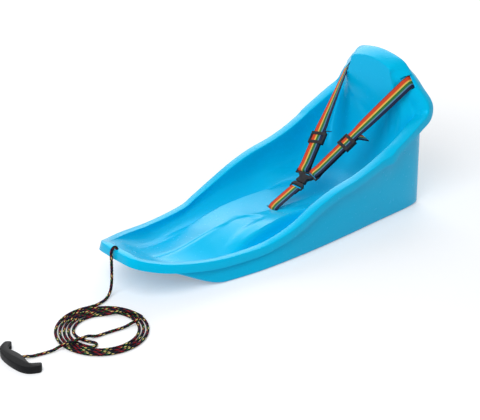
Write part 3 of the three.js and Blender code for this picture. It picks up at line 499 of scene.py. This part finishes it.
def rim_frame(t):
    """The rim's crease at a station, with the directions across its band and down its lip."""
    rim = rim_line(t)
    along = (rim_line(t + 1e-4) - rim_line(t - 1e-4)).normalized()
    spine = spine_line(t)
    before = Vector((rim.x * HEAD_TAPER, spine.y, rim.z - (rim.y - spine.y) * HEAD_SLOPE))
    inward = spine.lerp(before, clamp01(band_aim_at(t))) - rim
    inward.z *= clamp01(band_turn_at(t))
    inward = (inward - along * inward.dot(along)).normalized()
    down = inward.cross(along).normalized()
    down = down.lerp(Vector((0, 1, 0)), clamp01(lip_turn_at(t))).normalized()
    return rim, inward, down


def inside_point(t, share, spine, outer):
    """A point of the inside, from the spine at share 0 out to the rim's inner edge at share 1."""
    angle = share * math.pi / 2
    power = power_at(t)
    plain = math.sin(angle) ** (2 / power)
    plain_edge = math.sin(HUMP_STEP_SHARE * math.pi / 2) ** (2 / power)
    climb = 1 - max(math.cos(angle), 0) ** (2 / power)
    edge = hump_width_at(t)
    if plain <= plain_edge:
        across = plain * edge / plain_edge
    else:
        across = 1 - (1 - plain) * (1 - edge) / (1 - plain_edge)
    hump_edge = spine.z + hump_edge_at(t) * HEIGHT
    fall = smooth_share((across - edge) / HUMP_SIDE_SHARE) * clamp01(footwell_at(t))
    low = (spine.z + (hump_edge - spine.z) * across / edge if across <= edge
           else hump_edge + (FOOTWELL_FLOOR - hump_edge) * fall)
    low = min(low, outer.z)
    return Vector((outer.x * across, spine.y + (outer.y - spine.y) * climb,
                   low + (outer.z - low) * climb))


def rounded(points, radii, steps):
    """A line's points with each inner corner that has a radius turned into a short arc."""
    line = [points[0]]
    for before, corner, after, radius, count in zip(points, points[1:], points[2:], radii, steps):
        reach = [min(radius, 0.45 * (end - corner).length) for end in (before, after)]
        start = corner + (before - corner).normalized() * reach[0]
        stop = corner + (after - corner).normalized() * reach[1]
        for step in range(count + 1):
            s = step / count if count else 0.5
            line.append(start.lerp(corner, s).lerp(corner.lerp(stop, s), s))
    line.append(points[-1])
    return line


def hull_section(t):
    """The section's points at a station, from the middle of the inside round to the keel."""
    rim, inward, down = rim_frame(t)
    spine = spine_line(t)
    width = BAND_WIDTH * band_at(t)
    inner = rim + inward * width
    inside = [inside_point(t, share, spine, inner) for share in INSIDE_SHARES]
    hollow = clamp01(hollow_at(t))
    notch = max(1 - abs(min(t, 1 - t) - NOTCH_STATION) / NOTCH_HALF_LENGTH, 0)
    rim = rim - inward * NOTCH_REACH * notch / 2 + down * NOTCH_DROP * notch / 2
    crown = inner.lerp(rim, 0.5) - down * width / 16
    lip_edge = (rim + down * (LIP_DEPTH + NOTCH_DROP * notch / 2)
                - inward * (LIP_SLANT * hollow + NOTCH_REACH * notch / 2))
    lip_inside = lip_edge + inward * LIP_THICKNESS
    lip_top = (lip_inside - down * (LIP_DEPTH - BAND_THICKNESS) * hollow
               + inward * LIP_SLANT * hollow)
    wall_top = wall_top_line(t)
    wall_top.z = lip_top.z - LIP_THICKNESS * (1 - hollow) * 2
    base = base_line(t)
    keel = keel_line(t)
    base.z = max(base.z, 0)
    keel.z = max(keel.z, 0)
    outline = [inside[-1], inner, crown, rim, lip_edge, lip_inside, lip_top, wall_top,
               wall_top.lerp(base, 0.5), base, base.lerp(keel, 0.5), keel]
    radii = [least + gain * (1 - hollow) for least, gain, _ in CORNERS]
    return inside[:-1] + rounded(outline, radii, [count for _, _, count in CORNERS])


section_points = len(hull_section(0))
print("section:", section_points, "points")

# %% [markdown]
# ## Moulded details of the hull
# Some forms are pressed into the inside: the groove along the hump's ridge, the leaf-shaped hollow
# that ends before the crotch slot, the flat shield of the back rest with a roll round it, and a
# shallow flute in each back corner. They are moves of the loft's own points, which is how a
# modeller sculpts them. All places are in millimetres from the middle of the sled's foot.
# %% Details
PANEL_ROWS = [(z, -x, x) for z, x in (
    (197, 0), (212, 25), (228, 44), (245, 60), (262, 70), (280, 75), (305, 76), (325, 71),
    (338, 60), (347, 44), (351, 22), (352, 0))]
PANEL_FACE = 361.5
PANEL_ROLL = 12
PANEL_ROLL_BOTTOM = 228
LEAF_ROWS = ((-330, 0, 90), (-219, 0, 90), (-150, 0, 62), (-112, -4, 50), (-71, -12, 44),
             (-40, -5, 42), (-22, 7, 38), (-12, 22, 30))
LEAF_DEPTH = 4.5
LEAF_SOFT = 9
GROOVE_DEPTH = 2.4
GROOVE_HALF_WIDTH = 4.5
FLUTE_PLACE = 84
FLUTE_HALF_WIDTH = 11
FLUTE_DEPTH = 4


def row_reach(rows, place, across):
    """How far inside an outline a point is: rows give a place and the outline's two sides."""
    if not rows[0][0] < place < rows[-1][0]:
        return -max(rows[0][0] - place, place - rows[-1][0], abs(across) * 0.5)
    for (start, *near), (stop, *far) in zip(rows, rows[1:]):
        if start <= place <= stop:
            low, high = (a + (b - a) * (place - start) / (stop - start)
                         for a, b in zip(near, far))
            slant = (stop - start) / math.hypot(far[1] - near[1], stop - start)
            return min(across - low, high - across) * slant
    return -1


def mould(point):
    """Move a point of the inside to where the moulding's own forms put it."""
    x, y, z = point
    on_hump = -340 < y < 10 and z < 90
    on_back_rest = y > 300 and z > 120
    if on_hump:
        leaf = smooth_share(row_reach(LEAF_ROWS, y, x) / LEAF_SOFT)
        point.z -= LEAF_DEPTH * leaf * rise(y, -190, -100)
        groove = max(1 - abs(x) / GROOVE_HALF_WIDTH, 0)
        groove *= rise(y, -330, -310) * (1 - rise(y, -130, -105))
        point.z -= GROOVE_DEPTH * groove
    if on_back_rest:
        reach = row_reach(PANEL_ROWS, z, x)
        if reach > 0 or z < PANEL_ROLL_BOTTOM:
            point.y += (PANEL_FACE - y) * rise(reach, -3, 3)
        elif -reach < PANEL_ROLL:
            rolled = PANEL_ROLL - math.sqrt(PANEL_ROLL**2 - reach**2)
            point.y = min(y, PANEL_FACE + rolled)
        flute = math.exp(-((abs(x) - FLUTE_PLACE) / FLUTE_HALF_WIDTH) ** 2)
        flute *= rise(z, 150, 200) * (1 - rise(z, 235, 265))
        point.y += FLUTE_DEPTH * flute


# %% [markdown]
# ## The hull
# The loft is a grid with a column for each point of the section and a row for each station. Each
# of its points is put on its section, and where the two sides meet along the middle their points
# are merged. Slots and holes are then cut with Boolean modifiers, as a router cuts them in the
# real moulding, and the result is applied.
# %% Loft
KNOTS_ROUND = 38
STATIONS = KNOTS_ROUND * 8
BUCKLE_LOW = Vector((0, 117.5, 80.9))
BUCKLE_RISE = Vector((0, 45.5, 27.2))
BUCKLE_SPREAD = 18
WEBBING_WIDTH = 30
WEBBING_THICKNESS = 1.5
SLOT_WIDTH = 7
SLOT_LENGTH = WEBBING_WIDTH + 4 * WEBBING_THICKNESS
SLOT_LEAN = 0.64
CROTCH_SLOT = Vector((0, 41.6, 50.1))
KEEPER_RADIUS = 2.5
KEEPER_RECESS_DEPTH = 10
KEEPER_RECESS_SIZE = (47, 20, 2 * KEEPER_RECESS_DEPTH)
ROPE_HOLE_RADIUS = 4.1
ROPE_HOLE_DEPTH = 21
AHEAD = Vector((0, 1, 0))
ACROSS = Vector((1, 0, 0))
UPWARD = Vector((0, 0, 1))


def shoulder_slot(side):
    """The middle of a shoulder slot: side is 1 on the left and -1 on the right."""
    return Vector((side * 0.6, 0.916, 0.836)) * SPAN


def slot_widthways(side):
    """The direction of a shoulder slot's long side."""
    return Vector((side * math.sin(SLOT_LEAN), 0, -math.cos(SLOT_LEAN)))


def hull_loft(material):
    """The hull as one closed surface, before its slots and holes are cut."""
    sections = [hull_section(row / STATIONS) for row in range(STATIONS)]
    for section in sections:
        for point in section[:len(INSIDE_SHARES)]:
            mould(point)

    def place(column, row):
        return sections[row % STATIONS][column] * MM

    bm, _ = placed_grid(section_points - 1, STATIONS, place)
    bmesh.ops.remove_doubles(bm, verts=bm.verts, dist=0.05 * MM)
    bmesh.ops.dissolve_degenerate(bm, edges=bm.edges, dist=0.01 * MM)
    bmesh.ops.recalc_face_normals(bm, faces=bm.faces)
    return to_piece(bm, "moulded_hull", material, 50)


def block(size, centre, x, y):
    """A box turned so that its first two sides run along x and y."""
    bm = bmesh.new()
    turn = Matrix((x, y, x.cross(y))).transposed().to_4x4()
    place = Matrix.Translation(centre * MM) @ turn @ Matrix.Diagonal((*(s * MM for s in size), 1))
    bmesh.ops.create_cube(bm, size=1, matrix=place)
    return bm


def slot_block(length, width, depth, centre, x, y):
    """A slot's cutter: a block whose long edges are rounded to nearly half its width."""
    bm = block((length, depth, width), centre, x, y)
    long_way = y.normalized()
    edges = [e for e in bm.edges
             if abs((e.verts[0].co - e.verts[1].co).normalized().dot(long_way)) > 0.99]
    bmesh.ops.bevel(bm, geom=edges, offset=0.42 * width * MM, affect="EDGES", segments=4,
                    profile=0.5, material=-1)
    return bm


def hull_cutters():
    """Cutters for the shoulder slots, the crotch slot with its recess, and the rope's hole."""
    cutters = []
    for side in (1, -1):
        w = slot_widthways(side)
        buckle = BUCKLE_LOW + BUCKLE_RISE + ACROSS * side * BUCKLE_SPREAD
        along = (shoulder_slot(side) - buckle).normalized()
        flare = (along - w * along.dot(w)).normalized()
        cutters.append(slot_block(SLOT_LENGTH, SLOT_WIDTH, 0.2 * HALF_LENGTH,
                                  shoulder_slot(side), w, AHEAD))
        cutters.append(slot_block(SLOT_LENGTH, SLOT_WIDTH, 4 * SLOT_WIDTH, shoulder_slot(side),
                                  w, flare))
    cutters.append(slot_block(SLOT_LENGTH, SLOT_WIDTH, 4 * CROTCH_SLOT.z, CROTCH_SLOT,
                              ACROSS, UPWARD))
    cutters.append(block(KEEPER_RECESS_SIZE, Vector((0, CROTCH_SLOT.y, 0)), ACROSS, AHEAD))
    hole = bmesh.new()
    bmesh.ops.create_cone(hole, cap_ends=True, segments=24, radius1=ROPE_HOLE_RADIUS * MM,
                          radius2=ROPE_HOLE_RADIUS * MM, depth=ROPE_HOLE_DEPTH * MM,
                          matrix=Matrix.Translation(ROPE_HOLE * MM))
    cutters.append(hole)
    return cutters


def carve(piece, cutters):
    """Cut each bmesh out of the piece with an exact Boolean, and apply it."""
    tools = []
    for i, bm in enumerate(cutters):
        mesh = bpy.data.meshes.new(f"cutter_{i}")
        bm.to_mesh(mesh)
        bm.free()
        tool = bpy.data.objects.new(f"cutter_{i}", mesh)
        scene.collection.objects.link(tool)
        tools.append(tool)
        cut = piece.modifiers.new(f"cut_{i}", "BOOLEAN")
        cut.object, cut.operation, cut.solver = tool, "DIFFERENCE", "EXACT"
    apply_modifiers(piece)
    for tool in tools:
        bpy.data.objects.remove(tool)


def apply_modifiers(piece):
    """Give a piece the mesh that its modifiers make, and take them off."""
    graph = bpy.context.evaluated_depsgraph_get()
    made = bpy.data.meshes.new_from_object(piece.evaluated_get(graph), depsgraph=graph)
    piece.modifiers.clear()
    piece.data = made


def moulded_polyethylene():
    """High-density polyethylene, blow moulded: glossy, waxy, a little uneven in its sheen."""
    material, tree, shader = new_material("moulded_polyethylene")
    tint = add_node(tree, "ShaderNodeMix", {"data_type": "RGBA", 6: linear("#00bdec"),
                                            7: linear("#00c4f2")}, {0: noise(tree, 120, 3)})
    tree.links.new(tint.outputs[2], shader.inputs["Base Color"])
    tree.links.new(map_range(tree, noise(tree, 9, 4), 0.22, 0.3), shader.inputs["Roughness"])
    add_bump(tree, shader, noise(tree, 2.5, 2), 0.05, 0.1)
    shader.inputs["IOR"].default_value = 1.54
    shader.inputs["Specular Tint"].default_value = linear("#40c8ff")
    return material


hull_plastic = moulded_polyethylene()
hull = hull_loft(hull_plastic)
carve(hull, hull_cutters())
hull.data.set_sharp_from_angle(angle=math.radians(40))
print("hull:", len(hull.data.polygons), "faces")

# %% [markdown]
# ## Webbing
# The harness is 30 mm polypropylene webbing, 1.5 mm thick, woven in stripes along its length. Each
# strap is a flat grid laid along its path and given its thickness with solidify, so it keeps the
# weave's own directions in its UV map: one way across the width, the other along the length.
# %% Webbing paths
WEBBING_GAP = 0.4
LAYER = (WEBBING_THICKNESS + WEBBING_GAP) / 2
BAR_RADIUS = 2
BAR_WRAP = BAR_RADIUS + WEBBING_GAP + WEBBING_THICKNESS / 2
KEEPER_WRAP = KEEPER_RADIUS + WEBBING_GAP + WEBBING_THICKNESS / 2
BUCKLE_PITCH = 0.54
BUCKLE_LENGTH = 53
SLIDER_LENGTH = 32
TAIL_LENGTH = {1: 40, -1: 26}
TAIL_ANGLE = 1.05
TAIL_CLEARANCE = 5
CROTCH_TAIL = 17
SLIDER_DISTANCE = {1: 108, -1: 89}
SLOT_HALF_DEPTH = 0.03 * HALF_LENGTH
KEEPER_SETBACK = 0.0608 * HALF_LENGTH
WRAP_STEPS = 8
TWIST_STEPS = 9
TWIST_EASE = 0.6
BUCKLE_BAR = Vector((0, 0.274 * HALF_LENGTH, 0.221 * HEIGHT))
BUCKLE_UP = Vector((0, math.cos(BUCKLE_PITCH), math.sin(BUCKLE_PITCH)))


def wrap(centre, along, normal, widthways, radius, start, stop):
    """Webbing round a bar: (point, widthways) from one turn to another."""
    places = []
    for step in range(WRAP_STEPS + 1):
        turn = start + (stop - start) * step / WRAP_STEPS
        places.append((centre + radius * (math.cos(turn) * along + math.sin(turn) * normal),
                       widthways))
    return places


def strap_run(side):
    """A shoulder strap's straight run: its start, end, length and own directions."""
    start = BUCKLE_BAR + BUCKLE_UP * BUCKLE_LENGTH + ACROSS * side * BUCKLE_SPREAD
    end = shoulder_slot(side)
    along = (end - start).normalized()
    lean = math.atan2(along.dot(ACROSS), along.dot(BUCKLE_UP))
    level = ACROSS * math.cos(lean) - BUCKLE_UP * math.sin(lean)
    level = (level - along * level.dot(along)).normalized()
    return start, end, (end - start).length, along, level, level.cross(along).normalized()


def keeper_centre(side):
    """The axis of the keeper behind a shoulder slot."""
    normal = AHEAD.cross(slot_widthways(side)).normalized()
    return shoulder_slot(side) + AHEAD * KEEPER_SETBACK + normal * side * KEEPER_WRAP


def shoulder_path(side):
    """From the strap's tail through the slider, round the buckle's bar and back to the slot."""
    start, end, length, along, level, normal = strap_run(side)
    slider = SLIDER_DISTANCE[side]

    def at(s, n, w=level):
        return start + along * s + normal * n, w

    def tail_turn(turn):
        return along * math.cos(turn) - normal * math.sin(turn)

    tail_start = slider + SLIDER_LENGTH / 2 + TAIL_CLEARANCE
    bend = at(tail_start, -LAYER)[0] + tail_turn(TAIL_ANGLE / 2) * TAIL_LENGTH[side] / 6
    path = [(bend + tail_turn(TAIL_ANGLE) * TAIL_LENGTH[side] * 5 / 6, level), (bend, level),
            at(tail_start, -LAYER), at(slider - SLIDER_LENGTH, -LAYER),
            at(SLIDER_LENGTH / 2, -LAYER), at(BAR_WRAP, -BAR_WRAP)]
    path += wrap(start, along, normal, level, BAR_WRAP, 1.5 * math.pi, 0.5 * math.pi)
    path += [at(BAR_WRAP, BAR_WRAP), at(SLIDER_LENGTH / 2, LAYER),
             at(slider - SLIDER_LENGTH, LAYER), at(slider + SLIDER_LENGTH, LAYER)]
    target = slot_widthways(side) * side
    twist_from = slider + SLIDER_LENGTH
    for step in range(1, TWIST_STEPS + 1):
        share = step / TWIST_STEPS
        s = twist_from + (length - SLOT_HALF_DEPTH / 2 - twist_from) * share
        path.append(at(s, LAYER * (1 - share), level.lerp(target, share**TWIST_EASE)))
    keeper = keeper_centre(side)
    slot_normal = AHEAD.cross(target).normalized()
    path.append((end + AHEAD * SLOT_HALF_DEPTH / 4, target))
    path.append((keeper - (slot_normal + AHEAD) * KEEPER_WRAP, target))
    return path + wrap(keeper, AHEAD, slot_normal, target, KEEPER_WRAP,
                       -0.5 * math.pi, 0.72 * math.pi)


def crotch_path():
    """From the strap's tail round the buckle's lower bar, down through the slot to the keeper."""
    slot = Vector((0, 0.097 * HALF_LENGTH, 0.137 * HEIGHT))
    keeper = Vector((0, slot.y + KEEPER_WRAP, KEEPER_WRAP + WEBBING_THICKNESS / 2 + 0.6))
    along = (BUCKLE_BAR - slot).normalized()
    normal = ACROSS.cross(along).normalized()
    path = [(BUCKLE_BAR - along * CROTCH_TAIL - normal * (WEBBING_THICKNESS + WEBBING_GAP),
             ACROSS)]
    path += wrap(BUCKLE_BAR, along, normal, ACROSS, BAR_WRAP, -0.5 * math.pi, 0.5 * math.pi)
    path.append((slot + along * 1.6 * SLOT_WIDTH + UPWARD * 3 * WEBBING_THICKNESS, ACROSS))
    path.append((slot + UPWARD * 2 * WEBBING_THICKNESS + AHEAD * WEBBING_THICKNESS, ACROSS))
    path.append((slot - UPWARD * WEBBING_THICKNESS, ACROSS))
    path.append((Vector((0, slot.y, KEEPER_RECESS_DEPTH)), ACROSS))
    return path + wrap(keeper, AHEAD, UPWARD, ACROSS, KEEPER_WRAP, math.pi, 2.2 * math.pi)


# %% [markdown]
# Each path is drawn finer before the grid is laid on it, so that the webbing bends smoothly round
# its bars and twists evenly towards its slot.
# %% Straps
WEBBING_COLUMNS = 10
STRAP_STEP = 1.6


def strap_frames(path):
    """Even places along a path: (point, widthways, normal), and the path's length."""
    frames, travelled = [], 0
    for (a, wa), (b, wb) in zip(path, path[1:]):
        steps = max(1, round((b - a).length / STRAP_STEP))
        for step in range(steps):
            share = step / steps
            frames.append((a.lerp(b, share), wa.lerp(wb, share), travelled
                           + (b - a).length * share))
        travelled += (b - a).length
    frames.append((path[-1][0], path[-1][1], travelled))
    made = []
    for i, (point, w, s) in enumerate(frames):
        along = (frames[min(i + 1, len(frames) - 1)][0] - frames[max(i - 1, 0)][0]).normalized()
        w = (w - along * w.dot(along)).normalized()
        made.append((point, w, along.cross(w), s))
    return made, travelled


def strap(path, name, material):
    """Webbing laid along a path, with its length in metres in the UV map."""
    frames, length = strap_frames(path)

    def place(column, row):
        point, w, n, _ = frames[row]
        across = column / WEBBING_COLUMNS - 0.5
        return (point + w * across * WEBBING_WIDTH - n * WEBBING_THICKNESS / 2) * MM

    bm, layer = placed_grid(WEBBING_COLUMNS, len(frames) - 1, place)
    for face in bm.faces:
        for loop in face.loops:
            u, v = loop[layer].uv
            row = round(v * (len(frames) - 1))
            loop[layer].uv = (u, frames[row][3] * MM)
    bmesh.ops.recalc_face_normals(bm, faces=bm.faces)
    normal = frames[0][2]
    if bm.faces[:][0].normal.dot(normal) < 0:
        bmesh.ops.reverse_faces(bm, faces=bm.faces)
    bmesh.ops.solidify(bm, geom=bm.faces[:], thickness=WEBBING_THICKNESS * MM)
    bmesh.ops.recalc_face_normals(bm, faces=bm.faces)
    piece = to_piece(bm, name, material, 50)
    print(name, round(length), "mm long")
    return piece


STRIPES = ((0, "#6a1a18"), (0.04, "#dd4a28"), (0.29, "#ee7d2a"), (0.33, "#f2c95c"),
           (0.44, "#2d7436"), (0.65, "#5a8db4"), (0.75, "#0b1c42"), (0.95, "#080c1a"))
RIB_LENGTH = 1.4
YARNS_ACROSS = 22


def striped_webbing():
    """Woven polypropylene webbing: bright stripes, ribs across the width, hardly any gloss."""
    material, tree, shader = new_material("striped_webbing")
    weave_map = add_node(tree, "ShaderNodeUVMap")
    parts = add_node(tree, "ShaderNodeSeparateXYZ", links={0: weave_map.outputs["UV"]})
    dyed = add_node(tree, "ShaderNodeMix", {"data_type": "RGBA", "blend_type": "MULTIPLY",
                                            0: 1.0}, {6: bands(tree, parts.outputs["X"], STRIPES)})
    tree.links.new(map_range(tree, noise(tree, 1.2, 2), 0.82, 1.08), dyed.inputs[7])
    tree.links.new(dyed.outputs[2], shader.inputs["Base Color"])
    waves = []
    for way, turns in (("Y", 1 / (RIB_LENGTH * MM)), ("X", YARNS_ACROSS)):
        turn = add_node(tree, "ShaderNodeMath", {"operation": "MULTIPLY", 1: 2 * math.pi * turns},
                        {0: parts.outputs[way]})
        waves.append(add_node(tree, "ShaderNodeMath", {"operation": "SINE"},
                              {0: turn.outputs[0]}))
    weave = add_node(tree, "ShaderNodeMath", {"operation": "ADD"},
                     {0: waves[0].outputs[0], 1: waves[1].outputs[0]})
    add_bump(tree, shader, weave.outputs[0], 0.6, 0.15)
    shader.inputs["Roughness"].default_value = 0.6
    shader.inputs["Specular IOR Level"].default_value = 0.2
    return material


webbing = striped_webbing()
straps = {side: strap(shoulder_path(side), f"{name}_webbing", webbing)
          for side, name in ((1, "left"), (-1, "right"))}
crotch = strap(crotch_path(), "crotch_webbing", webbing)

# %% [markdown]
# ## Buckle, sliders, keepers and handle
# The hardware is moulded acetal and nylon, so the CAD solids already have its shape. A Weld
# modifier joins their loose triangles and a Bevel modifier gives each edge the small radius that
# every moulding has. Knots are lumps of the same rope.
# %% Hardware
def matt_acetal(name, colour, roughness):
    """Injection-moulded acetal, spark-eroded to a fine matt grain, black right through."""
    material, tree, shader = new_material(name)
    add_bump(tree, shader, noise(tree, 0.5, 3), 0.25, 0.08)
    worn = noise(tree, 12, 4)
    tree.links.new(map_range(tree, worn, roughness - 0.06, roughness + 0.08),
                   shader.inputs["Roughness"])
    tint = add_node(tree, "ShaderNodeMix", {"data_type": "RGBA", 6: linear(colour),
                                            7: linear("#17181b")}, {0: worn})
    tree.links.new(tint.outputs[2], shader.inputs["Base Color"])
    shader.inputs["Specular IOR Level"].default_value = 0.12
    return material


ACETAL_ROUGHNESS = 0.42
acetal = matt_acetal("matt_acetal", "#3a3b40", ACETAL_ROUGHNESS)
handle_plastic = matt_acetal("matt_handle_plastic", "#0c0d0f", ACETAL_ROUGHNESS)
HARDWARE = ["buckle_socket", "buckle_insert", "crotch_strap_keeper"] + [
    f"{side}_{part}" for side in ("left", "right")
    for part in ("strap_slider", "strap_keeper", "release_arm")]
SOFT_EDGE_ANGLE = 30


def soften_edges(node, material, radius):
    """Weld a CAD node's triangles, bevel its edges and give it its material."""
    piece = nodes[node]
    weld = piece.modifiers.new("weld", "WELD")
    weld.merge_threshold = 0.01 * MM
    bevel = piece.modifiers.new("edge_radius", "BEVEL")
    bevel.width, bevel.segments = radius * MM, 3
    bevel.limit_method, bevel.angle_limit = "ANGLE", math.radians(SOFT_EDGE_ANGLE)
    bevel.harden_normals = False
    piece.data.materials.clear()
    piece.data.materials.append(material)
    piece.data.shade_smooth()
    return piece


for name in HARDWARE:
    soften_edges(name, acetal, 0.5)
soften_edges("pull_handle", handle_plastic, 0.9)

KNOT_RADIUS = 5.2
KNOT_RELIEF = 0.1


def knot(name, centre):
    """An overhand knot's lump: a ball with the relief of the strands that cross in it."""
    bm = bmesh.new()
    bmesh.ops.create_uvsphere(bm, u_segments=32, v_segments=20, radius=KNOT_RADIUS)
    layer = bm.loops.layers.uv.verify()
    for vert in bm.verts:
        x, y, z = vert.co
        turn = math.atan2(y, x)
        ridge = abs(math.sin(1.5 * turn + 2.2 * z / KNOT_RADIUS))
        vert.co *= 1 - KNOT_RELIEF * (1 - ridge)
    for face in bm.faces:
        for loop in face.loops:
            p = loop.vert.co
            loop[layer].uv = (p.z * 2 * MM, math.atan2(p.y, p.x) / (2 * math.pi) + 0.5)
    bmesh.ops.transform(bm, matrix=Matrix.Translation(centre * MM) @ Matrix.Scale(MM, 4),
                        verts=bm.verts)
    return to_piece(bm, name, rope_yarn, 180)


HANDLE_CENTRE = Vector((91, -757, 8.5))
knots = {"toe_knot": knot("toe_rope_knot", ROPE_HOLE - UPWARD * 0.95 * KNOT_RADIUS),
         "handle_knot": knot("handle_rope_knot", HANDLE_CENTRE)}
print("hardware:", len(HARDWARE) + 1, "carried nodes and", len(knots), "knots")

# %% [markdown]
# ## Light, floor and background
# A soft box high before the toe, a larger one behind and a pale world light the sled at a plain
# level. The floor glows a little for the camera and for reflections alone, more so far off where
# the lamps' light fades, so it stays white and keeps the soft shadow.
# %% Light and floor
SLED_MIDDLE = Vector((0, 0, 0.15))


def soft_box(name, place, size, watts):
    """A square lamp that faces the sled."""
    data = bpy.data.lights.new(name, "AREA")
    data.shape, data.size, data.energy = "SQUARE", size, watts
    lamp = bpy.data.objects.new(name, data)
    lamp.location = place
    lamp.rotation_euler = (SLED_MIDDLE - Vector(place)).to_track_quat("-Z", "Y").to_euler()
    scene.collection.objects.link(lamp)


soft_box("key", place=(0.8, -1.8, 2.3), size=1.8, watts=54)
soft_box("back", place=(-2.0, 1.75, 2.2), size=2.8, watts=46)

WORLD_LEVEL = 0.36
world = bpy.data.worlds.new("studio")
scene.world = world
world.use_nodes = True
sky = world.node_tree
background = sky.nodes["Background"]
white_for = seen_by(sky, "Is Camera Ray", "Is Glossy Ray", "Is Transmission Ray")
sky.links.new(map_range(sky, white_for, WORLD_LEVEL, 1.0), background.inputs["Strength"])
background.inputs["Color"].default_value = linear("#ffffff")

NEAR_GLOW, FAR_GLOW = 0.3, 0.8
GLOW_FROM, GLOW_TO = 0.8, 3.5


def white_floor():
    """A white paper sweep, lifted for the camera and more so far from the sled."""
    material, tree, shader = new_material("paper_floor")
    shader.inputs["Base Color"].default_value = linear("#e2e4e7")
    shader.inputs["Roughness"].default_value = 0.9
    shader.inputs["Specular IOR Level"].default_value = 0.1
    place = add_node(tree, "ShaderNodeTexCoord")
    away = add_node(tree, "ShaderNodeVectorMath", {"operation": "LENGTH"},
                    {0: place.outputs["Object"]})
    glow = add_node(tree, "ShaderNodeMapRange",
                    {"From Min": GLOW_FROM, "From Max": GLOW_TO,
                     "To Min": NEAR_GLOW, "To Max": FAR_GLOW}, {0: away.outputs["Value"]})
    lift = add_node(tree, "ShaderNodeMath", {"operation": "MULTIPLY"},
                    {0: seen_by(tree, "Is Camera Ray", "Is Glossy Ray"), 1: glow.outputs[0]})
    shader.inputs["Emission Color"].default_value = linear("#ffffff")
    tree.links.new(lift.outputs[0], shader.inputs["Emission Strength"])
    return material


FLOOR_REACH = 6
bm = bmesh.new()
bmesh.ops.create_grid(bm, x_segments=8, y_segments=8, size=FLOOR_REACH,
                      matrix=Matrix.Translation((0, 0, -0.4 * MM)))
floor = to_piece(bm, "paper_floor", white_floor())
scene.view_settings.view_transform = "Standard"
print("floor and lights are in place")

# %% [markdown]
# ## Which body each piece rides on
# The straps, hull and rope stay with the sled, the sliders and release arms are CAD nodes that
# already ride on their own bodies, and the CAD solid that each new piece replaces is hidden.
# %% Bodies and hidden solids
for piece, node, slot in (
        (hull, "sled_shell", "shell"), (straps[1], "left_shoulder_strap", "webbing"),
        (straps[-1], "right_shoulder_strap", "webbing"), (crotch, "crotch_strap", "webbing"),
        (knots["toe_knot"], "toe_knot", "rope"), (knots["handle_knot"], "handle_knot", "rope")):
    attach(piece, "sled")
    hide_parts(node)
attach(rope, "sled")
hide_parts("rope_lead", "rope_coil", "rope_tail")
